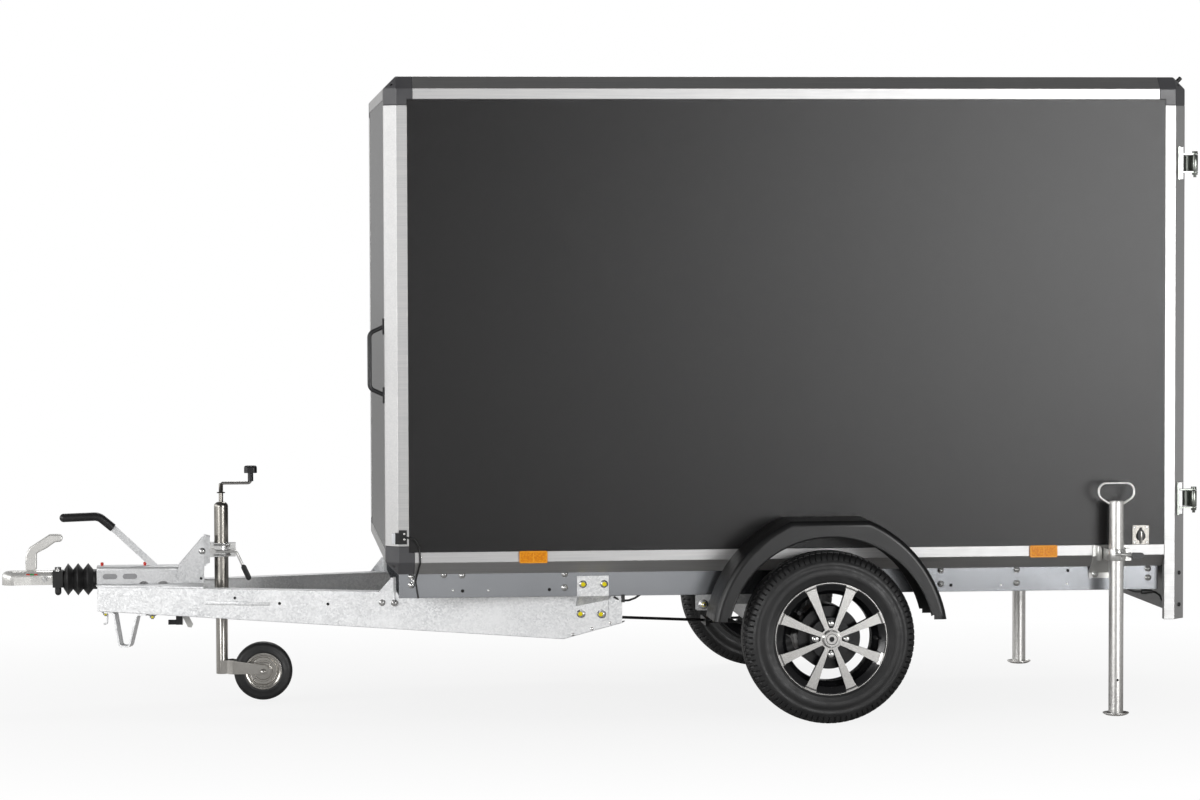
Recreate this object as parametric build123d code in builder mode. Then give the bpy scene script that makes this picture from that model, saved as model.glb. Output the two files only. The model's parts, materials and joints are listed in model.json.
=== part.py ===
from build123d import *
from math import hypot
import os

os.makedirs("parts", exist_ok=True)

# Frame: +X to the trailer's rear, +Y to its right, +Z up, floor at Z = 0,
# origin under the middle of its length and width. Millimetres.
# Left-hand pieces are drawn and mirrored about the plane Y = 0.

# --- Driving dimensions: box body ---
body_length = 2652
body_width = 1393
body_height = 1620
nose_to_body = 1278         # coupling tip to the front wall's face
hinge_reach = 28            # hinge pin's axis behind the rear face
hinge_inset = 15            # hinge pin's axis in from the side plane
hinge_barrel = 20           # barrel diameter
chamfer_leg = 40            # 45 degree chamfer along every edge
profile_leg = 75            # corner profile's width on each face
profile_wall = 25
cap_flap = 19               # the corner caps run past the panels' edges by this
panel_thickness = 18
panel_recess = 2
post_drop = 175             # the rear posts reach below the box
skirt_drop = 161
skirt_thickness = 4
skirt_recess = 20
door_gap = 4
door_thickness = 28
door_proud = 3              # the doors' outer face stands behind the posts by this
door_frame = 42             # width of the raised frame around each door's panel
door_frame_rise = 2

# --- Driving dimensions: chassis ---
rail_height = 80            # the box stands on the rails
rail_flange = 35
rail_wall = 3
rail_inset = 60             # rail's outer face in from the box's side
rail_front_gap = 44
rail_rear_gap = 81
cross_member_width = 50
beam_tip_x = 324            # drawbar beam's front end behind the coupling tip
beam_tail_x = 2054
beam_tip_y = 96             # web's outer face from the centre plane, at its front end
beam_depth_front = 83
beam_depth_most = 147
beam_depth_tail = 90
beam_taper = 198            # length of the tapered tail
beam_flange = 50
beam_wall = 4

# --- Driving dimensions: axle and wheels ---
axle_setback = 1427         # wheel centre behind the front wall
tyre_radius = 281
tyre_width = 165
tyre_section = 116          # height of the tyre's section
rim_lip = 17.5              # the rim's edge above the bead seat
rim_well = 15               # the well below the bead seat
rim_wall = 8
wheel_track_face = 223      # tyre's outer face out from the box's side
arm_length = 175
arm_rise = 50
axle_tube_size = 80
axle_tube_wall = 5
axle_seat = 32              # packing between the axle tube and the rails
drum_radius = 102

# --- Derived places ---
axle_z = tyre_radius + arm_rise
axle_top = axle_z + axle_tube_size / 2
rail_bottom = axle_top + axle_seat
body_bottom = rail_bottom + rail_height
overall_length = nose_to_body + body_length + hinge_reach + hinge_barrel / 2
nose_x = -overall_length / 2
body_front = nose_x + nose_to_body
body_rear = body_front + body_length
body_mid = (body_front + body_rear) / 2
half_width = body_width / 2
body_top = body_bottom + body_height
post_bottom = body_bottom - post_drop
skirt_bottom = body_bottom - skirt_drop
hinge_x = body_rear + hinge_reach
hinge_y = half_width - hinge_inset
rail_front = body_front + rail_front_gap
rail_rear = body_rear - rail_rear_gap
rail_y = half_width - rail_inset
wheel_x = body_front + axle_setback
wheel_outer_y = half_width + wheel_track_face
half_tyre = tyre_width / 2
wheel_y = wheel_outer_y - half_tyre
axle_x = wheel_x - arm_length
rim_radius = tyre_radius - tyre_section
lip_radius = rim_radius + rim_lip
sides = (-1, 1)             # -1 is the trailer's left, +1 its right


def finish(piece, name):
    """Labels a finished piece and writes its file."""
    piece.part.label = name
    export_step(piece.part, f"parts/{name}.step")


def write_mirrored(piece, name_left, name_right):
    """Writes a left-hand piece and its mirror image as the right-hand one."""
    finish(piece, name_left)
    with BuildPart() as other_hand:
        mirror(piece.part, about=Plane.XZ)
    finish(other_hand, name_right)


def slab(x_low, x_high, y_low, y_high, z_low, z_high, mode=Mode.ADD):
    """A box between two corners."""
    centre = ((x_low + x_high) / 2, (y_low + y_high) / 2, (z_low + z_high) / 2)
    with Locations(centre):
        Box(x_high - x_low, y_high - y_low, z_high - z_low, mode=mode)


def rod_z(x, y, radius, z_low, z_high, mode=Mode.ADD):
    """An upright cylinder."""
    with Locations((x, y, (z_low + z_high) / 2)):
        Cylinder(radius, z_high - z_low, mode=mode)


def rod_y(x, z, radius, y_low, y_high, mode=Mode.ADD):
    """A cylinder across the trailer."""
    with Locations((x, (y_low + y_high) / 2, z)):
        Cylinder(radius, y_high - y_low, rotation=(90, 0, 0), mode=mode)


def rod_x(y, z, radius, x_low, x_high, mode=Mode.ADD):
    """A cylinder along the trailer."""
    with Locations(((x_low + x_high) / 2, y, z)):
        Cylinder(radius, x_high - x_low, rotation=(0, 90, 0), mode=mode)


def side_plate(outline, y_low, y_high, corner=0, mode=Mode.ADD):
    """A plate across Y with an outline in X and Z, all its corners rounded where corner is given."""
    with BuildSketch(Plane.XZ.offset(-y_high), mode=Mode.PRIVATE) as face:
        Polygon(*outline, align=None)
        if corner:
            fillet(face.vertices(), corner)
    extrude(face.sketch, amount=y_high - y_low, dir=(0, -1, 0), mode=mode)


def bent_rod(points, bend, radius):
    """A round rod or cable through the points, with rounded bends."""
    with BuildLine(mode=Mode.PRIVATE) as path:
        FilletPolyline(*points, radius=bend)
    with BuildSketch(Plane(origin=path.line @ 0, z_dir=path.line % 0), mode=Mode.PRIVATE) as section:
        Circle(radius)
    sweep(section.sketch, path=path.line)


def corner_outline(u_corner, v_corner, u_sign, v_sign):
    """The corner profile's section: an angle with a chamfered outside. u and v run inwards."""
    steps = [
        (profile_leg, 0),
        (chamfer_leg, 0),
        (0, chamfer_leg),
        (0, profile_leg),
        (profile_wall, profile_leg),
        (profile_wall, profile_wall),
        (profile_leg, profile_wall),
    ]
    Polygon(*[(u_corner + u_sign * u, v_corner + v_sign * v) for u, v in steps], align=None)


# ------------------------------------------------------------------ box panels
panel_front = body_front + profile_leg
panel_rear = body_rear - profile_leg
panel_low = body_bottom + profile_leg
panel_high = body_top - profile_leg
panel_side = half_width - profile_leg

with BuildPart() as side_panel:
    outer = half_width - panel_recess
    slab(panel_front, panel_rear, -outer, -outer + panel_thickness, panel_low, panel_high)
write_mirrored(side_panel, "side_panel_left", "side_panel_right")

with BuildPart() as front_panel:
    outer = body_front + panel_recess
    slab(outer, outer + panel_thickness, -panel_side, panel_side, panel_low, panel_high)
finish(front_panel, "front_panel")

with BuildPart() as roof_panel:
    outer = body_top - panel_recess
    slab(panel_front, panel_rear, -panel_side, panel_side, outer - panel_thickness, outer)
finish(roof_panel, "roof_panel")

with BuildPart() as floor_panel:
    slab(panel_front, panel_rear, -panel_side, panel_side, body_bottom, body_bottom + panel_thickness)
finish(floor_panel, "floor_panel")

# ------------------------------------------------------------- corner profiles
with BuildPart() as side_rails:
    with BuildSketch(Plane.YZ.offset(panel_front + cap_flap)):
        for side in sides:
            corner_outline(side * half_width, body_top, -side, -1)
    extrude(amount=panel_rear - panel_front - 2 * cap_flap)
    with BuildSketch(Plane.YZ.offset(panel_front + cap_flap)):
        for side in sides:
            corner_outline(side * half_width, body_bottom, -side, 1)
    extrude(amount=panel_rear - panel_front - cap_flap)
finish(side_rails, "side_rails")

with BuildPart() as end_rails:
    with BuildSketch(Plane.XZ.offset(-panel_side + cap_flap)):
        corner_outline(body_front, body_top, 1, -1)
        corner_outline(body_front, body_bottom, 1, 1)
        corner_outline(body_rear, body_top, -1, -1)
    extrude(amount=2 * (panel_side - cap_flap))
    with BuildSketch(Plane.XZ.offset(-panel_side)):
        corner_outline(body_rear, body_bottom, -1, 1)
    extrude(amount=2 * panel_side)
finish(end_rails, "end_rails")

with BuildPart() as front_posts:
    with BuildSketch(Plane.XY.offset(panel_low + cap_flap)):
        for side in sides:
            corner_outline(body_front, side * half_width, 1, -side)
    extrude(amount=panel_high - panel_low - 2 * cap_flap)
finish(front_posts, "front_posts")

hinge_top_drop = 284        # upper hinge below the roof
hinge_low_rise = 225        # lower hinge above the box's underside
hinge_heights = [body_top - hinge_top_drop, body_bottom + hinge_low_rise]
hinge_plate_height = 108
hinge_plate_width = 26
hinge_plate_thickness = 6
hinge_plate_back = 29       # plate's front face ahead of the body's rear face
hinge_plate_edge = 8        # plate's outer edge in from the side plane

with BuildPart() as rear_posts:
    with BuildSketch(Plane.XY.offset(post_bottom)):
        for side in sides:
            corner_outline(body_rear, side * half_width, -1, -side)
    extrude(amount=panel_high - cap_flap - post_bottom)
    for side in sides:
        plate_y = sorted(side * (half_width - hinge_plate_edge - w) for w in (0, hinge_plate_width))
        for height in hinge_heights:
            slab(body_rear - hinge_plate_back, body_rear, *plate_y,
                 height - hinge_plate_height / 2, height + hinge_plate_height / 2, mode=Mode.SUBTRACT)
finish(rear_posts, "rear_posts")

# Each cap is the box's corner, run out along the three edges that meet there.
cap_places = [(body_front, 1, body_top, -1), (body_front, 1, body_bottom, 1), (body_rear, -1, body_top, -1)]
cap_long = profile_leg + cap_flap
with BuildPart() as corner_caps:
    for x_edge, x_in, z_edge, z_in in cap_places:
        for side in sides:
            for long_x, long_y, long_z in [(1, 0, 0), (0, 1, 0), (0, 0, 1)]:
                x_pair = sorted((x_edge, x_edge + x_in * (cap_long if long_x else profile_leg)))
                y_run = cap_long if long_y else profile_leg
                y_pair = sorted((side * half_width, side * (half_width - y_run)))
                z_pair = sorted((z_edge, z_edge + z_in * (cap_long if long_z else profile_leg)))
                slab(*x_pair, *y_pair, *z_pair)
    with BuildPart(mode=Mode.INTERSECT) as box_shape:
        with Locations((body_mid, 0, (body_bottom + body_top) / 2)):
            Box(body_length, body_width, body_height)
        chamfer(box_shape.edges(), chamfer_leg)
    slab(body_front + profile_wall, body_rear - profile_wall,
         -half_width + profile_wall, half_width - profile_wall,
         body_bottom + profile_wall, body_top - profile_wall, mode=Mode.SUBTRACT)
finish(corner_caps, "corner_caps")

# ----------------------------------------------------------------- rear skirt
skirt_rear = body_rear - skirt_recess
with BuildPart() as rear_skirt:
    slab(skirt_rear - skirt_thickness, skirt_rear, -panel_side, panel_side, skirt_bottom, body_bottom)
finish(rear_skirt, "rear_skirt")

lamp_length = 230
lamp_height = 130
lamp_depth = 19
lamp_round = 14
lamp_inset = 20             # lamp's outer end in from the skirt's end
lamp_z = (skirt_bottom + body_bottom) / 2
lamp_y = panel_side - lamp_inset - lamp_length / 2
with BuildPart() as tail_lamps:
    with BuildSketch(Plane.YZ.offset(skirt_rear)):
        for side in sides:
            with Locations((side * lamp_y, lamp_z)):
                RectangleRounded(lamp_length, lamp_height, lamp_round)
    extrude(amount=lamp_depth)
    fillet(tail_lamps.faces().sort_by(Axis.X)[-2:].edges(), lamp_round / 2)
finish(tail_lamps, "tail_lamps")

plate_length = 520
plate_height = 110
plate_thickness = 2
plate_round = 8
with BuildPart() as number_plate:
    with BuildSketch(Plane.YZ.offset(skirt_rear)):
        with Locations((0, lamp_z)):
            RectangleRounded(plate_length, plate_height, plate_round)
    extrude(amount=plate_thickness)
finish(number_plate, "number_plate")

# ------------------------------------------------------------------ rear doors
door_outer = body_rear + door_proud
door_edge = panel_side - door_gap
door_low = panel_low + door_gap
door_high = panel_high - door_gap
with BuildPart() as door:
    slab(door_outer - door_thickness, door_outer, -door_edge, -door_gap / 2, door_low, door_high)
    slab(door_outer - door_frame_rise, door_outer, -door_edge + door_frame, -door_gap / 2 - door_frame,
         door_low + door_frame, door_high - door_frame, mode=Mode.SUBTRACT)
write_mirrored(door, "door_left", "door_right")

hinge_pin_radius = 5
hinge_pin_clearance = 0.3
hinge_arm_spacing = 60
hinge_arm_thickness = 4
hinge_barrel_gap = 1.5
pin_head_radius = 9
pin_head_height = 7
pin_end = 8                 # the pin's thread past its nut
strap_thickness = 4
strap_length = 190
barrel_height = hinge_arm_spacing - hinge_arm_thickness - 2 * hinge_barrel_gap
arm_out = hinge_arm_spacing / 2 + hinge_arm_thickness / 2

with BuildPart() as hinge_brackets:
    plate_outer = half_width - hinge_plate_edge
    for height in hinge_heights:
        slab(body_rear - hinge_plate_back, body_rear - hinge_plate_back + hinge_plate_thickness,
             -plate_outer, -plate_outer + hinge_plate_width,
             height - hinge_plate_height / 2, height + hinge_plate_height / 2)
        for level in (-1, 1):
            arm_z = height + level * hinge_arm_spacing / 2
            arm_middle = ((body_rear - hinge_plate_back + hinge_x) / 2, -plate_outer + hinge_plate_width / 2)
            with BuildSketch(Plane.XY.offset(arm_z - hinge_arm_thickness / 2)):
                with Locations(arm_middle):
                    Rectangle(hinge_x - body_rear + hinge_plate_back, hinge_plate_width)
                with Locations((hinge_x, -hinge_y)):
                    Circle(hinge_barrel / 2)
            extrude(amount=hinge_arm_thickness)
        rod_z(hinge_x, -hinge_y, hinge_pin_radius, height - arm_out - pin_head_height - pin_end,
              height + arm_out)
        rod_z(hinge_x, -hinge_y, pin_head_radius, height + arm_out, height + arm_out + pin_head_height)
        rod_z(hinge_x, -hinge_y, pin_head_radius, height - arm_out - pin_head_height, height - arm_out)
    mirror(about=Plane.XZ)
finish(hinge_brackets, "hinge_brackets")

with BuildPart() as door_hinge:
    for height in hinge_heights:
        with BuildSketch(Plane.XY.offset(height - barrel_height / 2)):
            with BuildLine():
                Polyline(
                    (door_outer, -door_edge + strap_length),
                    (door_outer, -half_width + chamfer_leg),
                    (hinge_x - hinge_barrel / 2, -hinge_y),
                    (hinge_x, -hinge_y + hinge_barrel / 2),
                    (door_outer + strap_thickness, -half_width + chamfer_leg + strap_thickness),
                    (door_outer + strap_thickness, -door_edge + strap_length),
                    close=True,
                )
            make_face()
            with Locations((hinge_x, -hinge_y)):
                Circle(hinge_barrel / 2)
                Circle(hinge_pin_radius + hinge_pin_clearance, mode=Mode.SUBTRACT)
        extrude(amount=barrel_height)
write_mirrored(door_hinge, "door_hinges_left", "door_hinges_right")

# A turning rod on each door, in three guides, with a cam at each end and a handle.
rod_radius = 11
rod_stand = 14
rod_y_place = 60            # rod's axis from the centre plane
rod_end_gap = 30
rod_guide = 36
rod_guide_height = 50
rod_guide_inset = 90
cam_height = 16
cam_length = 40
handle_rise = 560           # above the box's underside
handle_length = 230
handle_height = 26
handle_bar = 8
with BuildPart() as door_rod:
    bar_x = door_outer + rod_stand + rod_radius
    handle_z = body_bottom + handle_rise
    rod_z(bar_x, -rod_y_place, rod_radius, door_low + rod_end_gap, door_high - rod_end_gap)
    for height in (door_low + rod_guide_inset, (door_low + door_high) / 2, door_high - rod_guide_inset):
        slab(door_outer, bar_x, -rod_y_place - rod_guide / 2, -rod_y_place + rod_guide / 2,
             height - rod_guide_height / 2, height + rod_guide_height / 2)
    for height in (door_low + rod_end_gap, door_high - rod_end_gap - cam_height):
        slab(door_outer, bar_x, -rod_y_place - rod_radius, -rod_y_place + cam_length - rod_radius,
             height, height + cam_height)
    with BuildSketch(Plane.YZ.offset(bar_x)):
        with Locations((-rod_y_place - handle_length / 2, handle_z)):
            RectangleRounded(handle_length, handle_height, handle_height / 2 - 1)
    extrude(amount=handle_bar)
    slab(door_outer, bar_x, -rod_y_place - handle_length + handle_height,
         -rod_y_place - handle_length + 2 * handle_height, handle_z - handle_height / 2,
         handle_z + handle_height / 2)
write_mirrored(door_rod, "door_rod_left", "door_rod_right")

# Rubber buffers on the chamfer over the doors.
buffer_radius = 7
buffer_length = 30
buffer_inset = 100          # in from the box's side
with BuildPart() as rubber_buffers:
    for side in sides:
        chamfer_middle = (body_rear - chamfer_leg / 2, side * (half_width - buffer_inset),
                          body_top - chamfer_leg / 2)
        with BuildSketch(Plane(origin=chamfer_middle, z_dir=(1, 0, 1))):
            Circle(buffer_radius)
        extrude(amount=buffer_length)
    fillet(rubber_buffers.faces().filter_by(GeomType.PLANE).sort_by(Axis.X)[-2:].edges(), buffer_radius / 2)
finish(rubber_buffers, "rubber_buffers")

# --------------------------------------------------------------------- chassis
def channel_outline(web_y, low, height, flange, wall, side):
    """A C section with its web outside and its opening towards the centre plane."""
    steps = [
        (0, 0),
        (flange, 0),
        (flange, wall),
        (wall, wall),
        (wall, height - wall),
        (flange, height - wall),
        (flange, height),
        (0, height),
    ]
    Polygon(*[(side * (web_y - u), low + v) for u, v in steps], align=None)


with BuildPart() as chassis_rails:
    with BuildSketch(Plane.YZ.offset(rail_front)):
        for side in sides:
            channel_outline(rail_y, rail_bottom, rail_height, rail_flange, rail_wall, side)
    extrude(amount=rail_rear - rail_front)
finish(chassis_rails, "chassis_rails")

member_half = rail_y - rail_wall
member_setback = 25         # first and last members' middles in from the rails' ends
member_front_of_axle = 480
member_behind_axle = 60
member_places = [
    rail_front + member_setback,
    axle_x - member_front_of_axle,
    axle_x + member_behind_axle,
    (axle_x + rail_rear) / 2 + member_behind_axle,
    rail_rear - member_setback,
]
with BuildPart() as cross_members:
    for place in member_places:
        member_low = rail_bottom + rail_wall
        member_high = body_bottom - rail_wall
        slab(place - cross_member_width / 2, place + cross_member_width / 2, -member_half, member_half,
             member_low, member_high)
        slab(place - cross_member_width / 2, place + cross_member_width / 2 - rail_wall, -member_half,
             member_half, member_low + rail_wall, member_high - rail_wall, mode=Mode.SUBTRACT)
finish(cross_members, "cross_members")

beam_front_x = nose_x + beam_tip_x
beam_rear_x = nose_x + beam_tail_x
beam_run = beam_rear_x - beam_front_x
beam_spread = rail_y - beam_tip_y
beam_length = hypot(beam_run, beam_spread)
beam_cosine = beam_run / beam_length
beam_top = rail_bottom

# Local x runs along the left beam's web from its front end, local y up from its top edge.
beam_plane = Plane(
    origin=(beam_front_x, -beam_tip_y, beam_top),
    x_dir=(beam_run, -beam_spread, 0),
    z_dir=(-beam_spread, -beam_run, 0),
)
beam_taper_start = beam_length - beam_taper


def along_beam(x):
    """Distance along the beam's web of a place given by its X."""
    return (x - beam_front_x) / beam_cosine


with BuildPart() as drawbar_beam:
    with BuildSketch(beam_plane):
        Polygon(
            (0, 0),
            (beam_length, 0),
            (beam_length, -beam_depth_tail),
            (beam_taper_start, -beam_depth_most),
            (0, -beam_depth_front),
            align=None,
        )
    extrude(amount=-beam_flange)
    with BuildSketch(beam_plane.offset(-beam_wall)):
        Polygon(
            (0, -beam_wall),
            (beam_length, -beam_wall),
            (beam_length, -beam_depth_tail + beam_wall),
            (beam_taper_start, -beam_depth_most + beam_wall),
            (0, -beam_depth_front + beam_wall),
            align=None,
        )
    extrude(amount=-beam_flange, mode=Mode.SUBTRACT)
write_mirrored(drawbar_beam, "drawbar_left", "drawbar_right")

# Folded plates join each beam's tail to its rail: an upper plate on the rail, a bent
# piece reaching in under it, and a lower plate on the beam's web.
bracket_front_x = beam_rear_x - 148
bracket_rear_x = beam_rear_x - 44
bracket_wall = 4
bracket_rise = 67           # upper plate's height above the beam's top
bracket_fold_front = 37     # lower plate's top edge below the beam's top, front and rear
bracket_fold_rear = 14
bracket_drop_front = 108
bracket_drop_rear = 78
bracket_round = 6
gusset_length = 64
gusset_rise = 47
gusset_drop = 50
gusset_wall = 4
gusset_edge = 12
gusset_tab = 40
gusset_start = along_beam(rail_front) - gusset_wall - gusset_length
with BuildPart() as frame_brackets:
    slab(bracket_front_x, bracket_rear_x, -rail_y - bracket_wall, -rail_y, rail_bottom,
         rail_bottom + bracket_rise)
    run_front = along_beam(bracket_front_x)
    run_rear = along_beam(bracket_rear_x)
    fold_front = beam_plane.from_local_coords(Vector(run_front, -bracket_fold_front, 0))
    fold_rear = beam_plane.from_local_coords(Vector(run_rear, -bracket_fold_rear, 0))
    fold_run = fold_rear - fold_front
    with BuildSketch(Plane.XY.offset(rail_bottom)):
        with Locations(((bracket_front_x + bracket_rear_x) / 2, -rail_y - bracket_wall / 2)):
            Rectangle(bracket_rear_x - bracket_front_x, bracket_wall)
    fold_plane = Plane(origin=fold_front, x_dir=fold_run, z_dir=beam_plane.z_dir.cross(fold_run))
    with BuildSketch(fold_plane):
        with Locations((fold_run.length / 2, -bracket_wall / 2)):
            Rectangle(fold_run.length, bracket_wall)
    loft()
    with BuildSketch(beam_plane) as lower_plate:
        Polygon(
            (run_front, -bracket_fold_front),
            (run_rear, -bracket_fold_rear),
            (run_rear, -bracket_drop_rear),
            (run_front, -bracket_drop_front),
            align=None,
        )
        fillet(lower_plate.vertices().sort_by(Axis.Z)[:2], bracket_round)
    extrude(amount=bracket_wall)
    # Front gussets stand on the beams' webs against the front cross member.
    with BuildSketch(beam_plane):
        Polygon(
            (gusset_start, -gusset_drop),
            (gusset_start, -gusset_edge),
            (gusset_start + gusset_length - gusset_edge, gusset_rise),
            (gusset_start + gusset_length, gusset_rise),
            (gusset_start + gusset_length, -gusset_drop),
            align=None,
        )
    extrude(amount=gusset_wall)
    gusset_end = beam_plane.from_local_coords(Vector(gusset_start + gusset_length, 0, gusset_wall))
    slab(gusset_end.X - gusset_wall, rail_front, gusset_end.Y, gusset_end.Y + gusset_tab,
         beam_top, beam_top + gusset_rise)
    mirror(about=Plane.XZ)
finish(frame_brackets, "frame_brackets")

# ------------------------------------------------------------------ axle, arms
with BuildPart() as axle_tube:
    with BuildSketch(Plane.XZ.offset(-rail_y)):
        with Locations((axle_x, axle_z)):
            RectangleRounded(axle_tube_size, axle_tube_size, 2 * axle_tube_wall)
            RectangleRounded(axle_tube_size - 2 * axle_tube_wall, axle_tube_size - 2 * axle_tube_wall,
                             axle_tube_wall, mode=Mode.SUBTRACT)
    extrude(amount=2 * rail_y)
finish(axle_tube, "axle_tube")

axle_bracket_ahead = 228    # bracket's front end ahead of the axle's middle
axle_bracket_foot = 63
axle_bracket_wall = 6
axle_seat_wall = 8
bracket_web_drop = 20       # bracket's front foot below the axle tube's top
seat_half = axle_tube_size / 2 + axle_seat_wall
with BuildPart() as axle_brackets:
    web_outline = [
        (axle_x - axle_bracket_ahead, rail_bottom),
        (axle_x - axle_bracket_ahead, axle_top - bracket_web_drop),
        (axle_x - axle_bracket_ahead + axle_bracket_foot, axle_top - bracket_web_drop),
        (axle_x - axle_bracket_ahead + axle_bracket_foot + bracket_web_drop, axle_top),
        (axle_x + seat_half, axle_top),
        (axle_x + seat_half, rail_bottom),
    ]
    side_plate(web_outline, -rail_y, -rail_y + axle_bracket_wall)
    side_plate(web_outline, -rail_y + rail_flange, -rail_y + rail_flange + axle_bracket_wall)
    slab(axle_x - axle_bracket_ahead, axle_x + seat_half, -rail_y, -rail_y + rail_flange,
         rail_bottom - axle_seat_wall, rail_bottom)
    slab(axle_x - seat_half, axle_x + seat_half, -rail_y, -rail_y + rail_flange, axle_top, rail_bottom)
    for end in sides:
        cheek = sorted((axle_x + end * axle_tube_size / 2, axle_x + end * seat_half))
        slab(*cheek, -rail_y, -rail_y + rail_flange + axle_bracket_wall, axle_z, axle_top)
    mirror(about=Plane.XZ)
finish(axle_brackets, "axle_brackets")

arm_gap = 4
arm_thickness = 30
arm_axle_radius = 42
arm_wheel_radius = 34
pivot_radius = 30
stub_radius = 17
stub_boss_radius = 28
stub_boss_length = 20
stub_end_gap = 12
hub_clearance = 0.05
drum_gap = 3
backplate_thickness = 3
hub_face_offset = 30        # hub's mounting face outboard of the tyre's middle
arm_inner = rail_y + arm_gap
arm_outer = arm_inner + arm_thickness
backplate_y = arm_outer + stub_boss_length
drum_back_y = backplate_y + backplate_thickness + drum_gap
hub_face_y = wheel_y + hub_face_offset
with BuildPart() as swing_arms:
    with BuildSketch(Plane.XZ.offset(arm_inner)):
        with Locations((axle_x, axle_z)):
            Circle(arm_axle_radius)
        with Locations((wheel_x, tyre_radius)):
            Circle(arm_wheel_radius)
        make_hull()
    extrude(amount=arm_thickness)
    rod_y(axle_x, axle_z, pivot_radius, -arm_inner, -rail_y)
    rod_y(wheel_x, tyre_radius, stub_boss_radius, -backplate_y, -arm_outer)
    rod_y(wheel_x, tyre_radius, stub_radius, -hub_face_y + stub_end_gap, -arm_outer)
    rod_y(wheel_x, tyre_radius, drum_radius - backplate_thickness, -backplate_y - backplate_thickness,
          -backplate_y)
    mirror(about=Plane.XZ)
finish(swing_arms, "swing_arms")

# ---------------------------------------------------------------- road wheels
wheel_axle = Axis((wheel_x, 0, tyre_radius), (0, 1, 0))
spoke_count = 8
spoke_depth = 24
spoke_root = 18
spoke_half_widths = [       # at shares of the way from its root to the rim's edge
    (0, 14),
    (0.1, 8),
    (0.2, 8),
    (0.55, 11.5),
    (0.93, 16.5),
    (1, 20),
]
hub_radius = 35
flange_edge = 8             # width of the rim's edge
edge_ring = 6               # the bright ring round its face
edge_slope = 10             # depth over which the face slopes in to the barrel
bead_width = 24
pad_radius = 68             # hub's mounting pad
pad_set_back = 12
cap_radius = 29
cap_tip_radius = 24
cap_height = 14
rim_edge_y = half_tyre - flange_edge / 2
face_inset = 3              # spokes' faces behind the rim's edge
face_y = wheel_y + rim_edge_y - face_inset
with BuildPart() as rim:
    with BuildSketch(Plane.YZ.offset(wheel_x)):
        well_radius = rim_radius - rim_well
        half_outline = [
            (rim_edge_y, lip_radius),
            (rim_edge_y - flange_edge, lip_radius),
            (rim_edge_y - flange_edge, rim_radius),
            (rim_edge_y - flange_edge - bead_width, rim_radius),
            (rim_edge_y - flange_edge - bead_width - rim_well, well_radius),
        ]
        half_inside = [
            (rim_edge_y - flange_edge - bead_width - rim_well - rim_wall / 2, well_radius - rim_wall),
            (rim_edge_y - flange_edge - bead_width - rim_wall / 2, rim_radius - rim_wall),
            (rim_edge_y - edge_slope, rim_radius - rim_wall),
            (rim_edge_y, lip_radius - edge_ring),
        ]
        outline = half_outline + [(-y, r) for y, r in reversed(half_outline)]
        outline += [(-y, r) for y, r in reversed(half_inside)] + half_inside
        Polygon(*[(-wheel_y + y, tyre_radius + r) for y, r in outline], align=None)
    revolve(axis=wheel_axle)
    face_plane = Plane(origin=(wheel_x, -face_y, tyre_radius), x_dir=(1, 0, 0), z_dir=(0, -1, 0))
    spoke_reach = lip_radius - edge_ring - spoke_root
    spoke_side = [(spoke_root + share * spoke_reach, width) for share, width in spoke_half_widths]
    with BuildSketch(face_plane) as spokes:
        for n in range(spoke_count):
            with Locations(Rotation(0, 0, (n + 0.5) * 360 / spoke_count)):
                Polygon(*spoke_side, *[(along, -width) for along, width in reversed(spoke_side)], align=None)
        Circle(hub_radius)
    extrude(amount=face_inset - flange_edge)
    with BuildSketch(face_plane):
        add(spokes.sketch_local)
        Circle(rim_radius - rim_wall / 2, mode=Mode.INTERSECT)
    extrude(amount=-spoke_depth)
    rod_y(wheel_x, tyre_radius, pad_radius, -face_y + pad_set_back, -hub_face_y)
    rod_y(wheel_x, tyre_radius, drum_radius, -hub_face_y, -drum_back_y)
    with BuildSketch(face_plane):
        Circle(cap_radius)
    with BuildSketch(face_plane.offset(cap_height)):
        Circle(cap_tip_radius)
    loft()
    rod_y(wheel_x, tyre_radius, stub_radius + hub_clearance, -hub_face_y + stub_end_gap - 1, -drum_back_y,
          mode=Mode.SUBTRACT)
write_mirrored(rim, "rim_left", "rim_right")

tread_in = 17               # tread's edge in from the sidewall
shoulder_drop = 35          # where the sidewall turns in, below the tread
with BuildPart() as tyre:
    with BuildSketch(Plane.YZ.offset(wheel_x)):
        half_section = [
            (half_tyre, lip_radius),
            (half_tyre, tyre_radius - shoulder_drop),
            (half_tyre - tread_in, tyre_radius),
        ]
        section = half_section + [(-y, r) for y, r in reversed(half_section)]
        Polygon(*[(-wheel_y + y, tyre_radius + r) for y, r in section], align=None)
    revolve(axis=wheel_axle)
write_mirrored(tyre, "tyre_left", "tyre_right")

# ------------------------------------------------------------------ mudguards
guard_wall = 5
guard_width = 220
guard_round = 18            # its outer edge
guard_foot_rise = 59        # feet above the wheel's middle
guard_foot = 380            # feet ahead of and behind the wheel's middle
guard_flank = (318, 219)    # a place on the round flank, from the wheel's middle
guard_corner = (128, 381)
guard_opening = 337
guard_opening_drop = 8
guard_toe = 14


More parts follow.
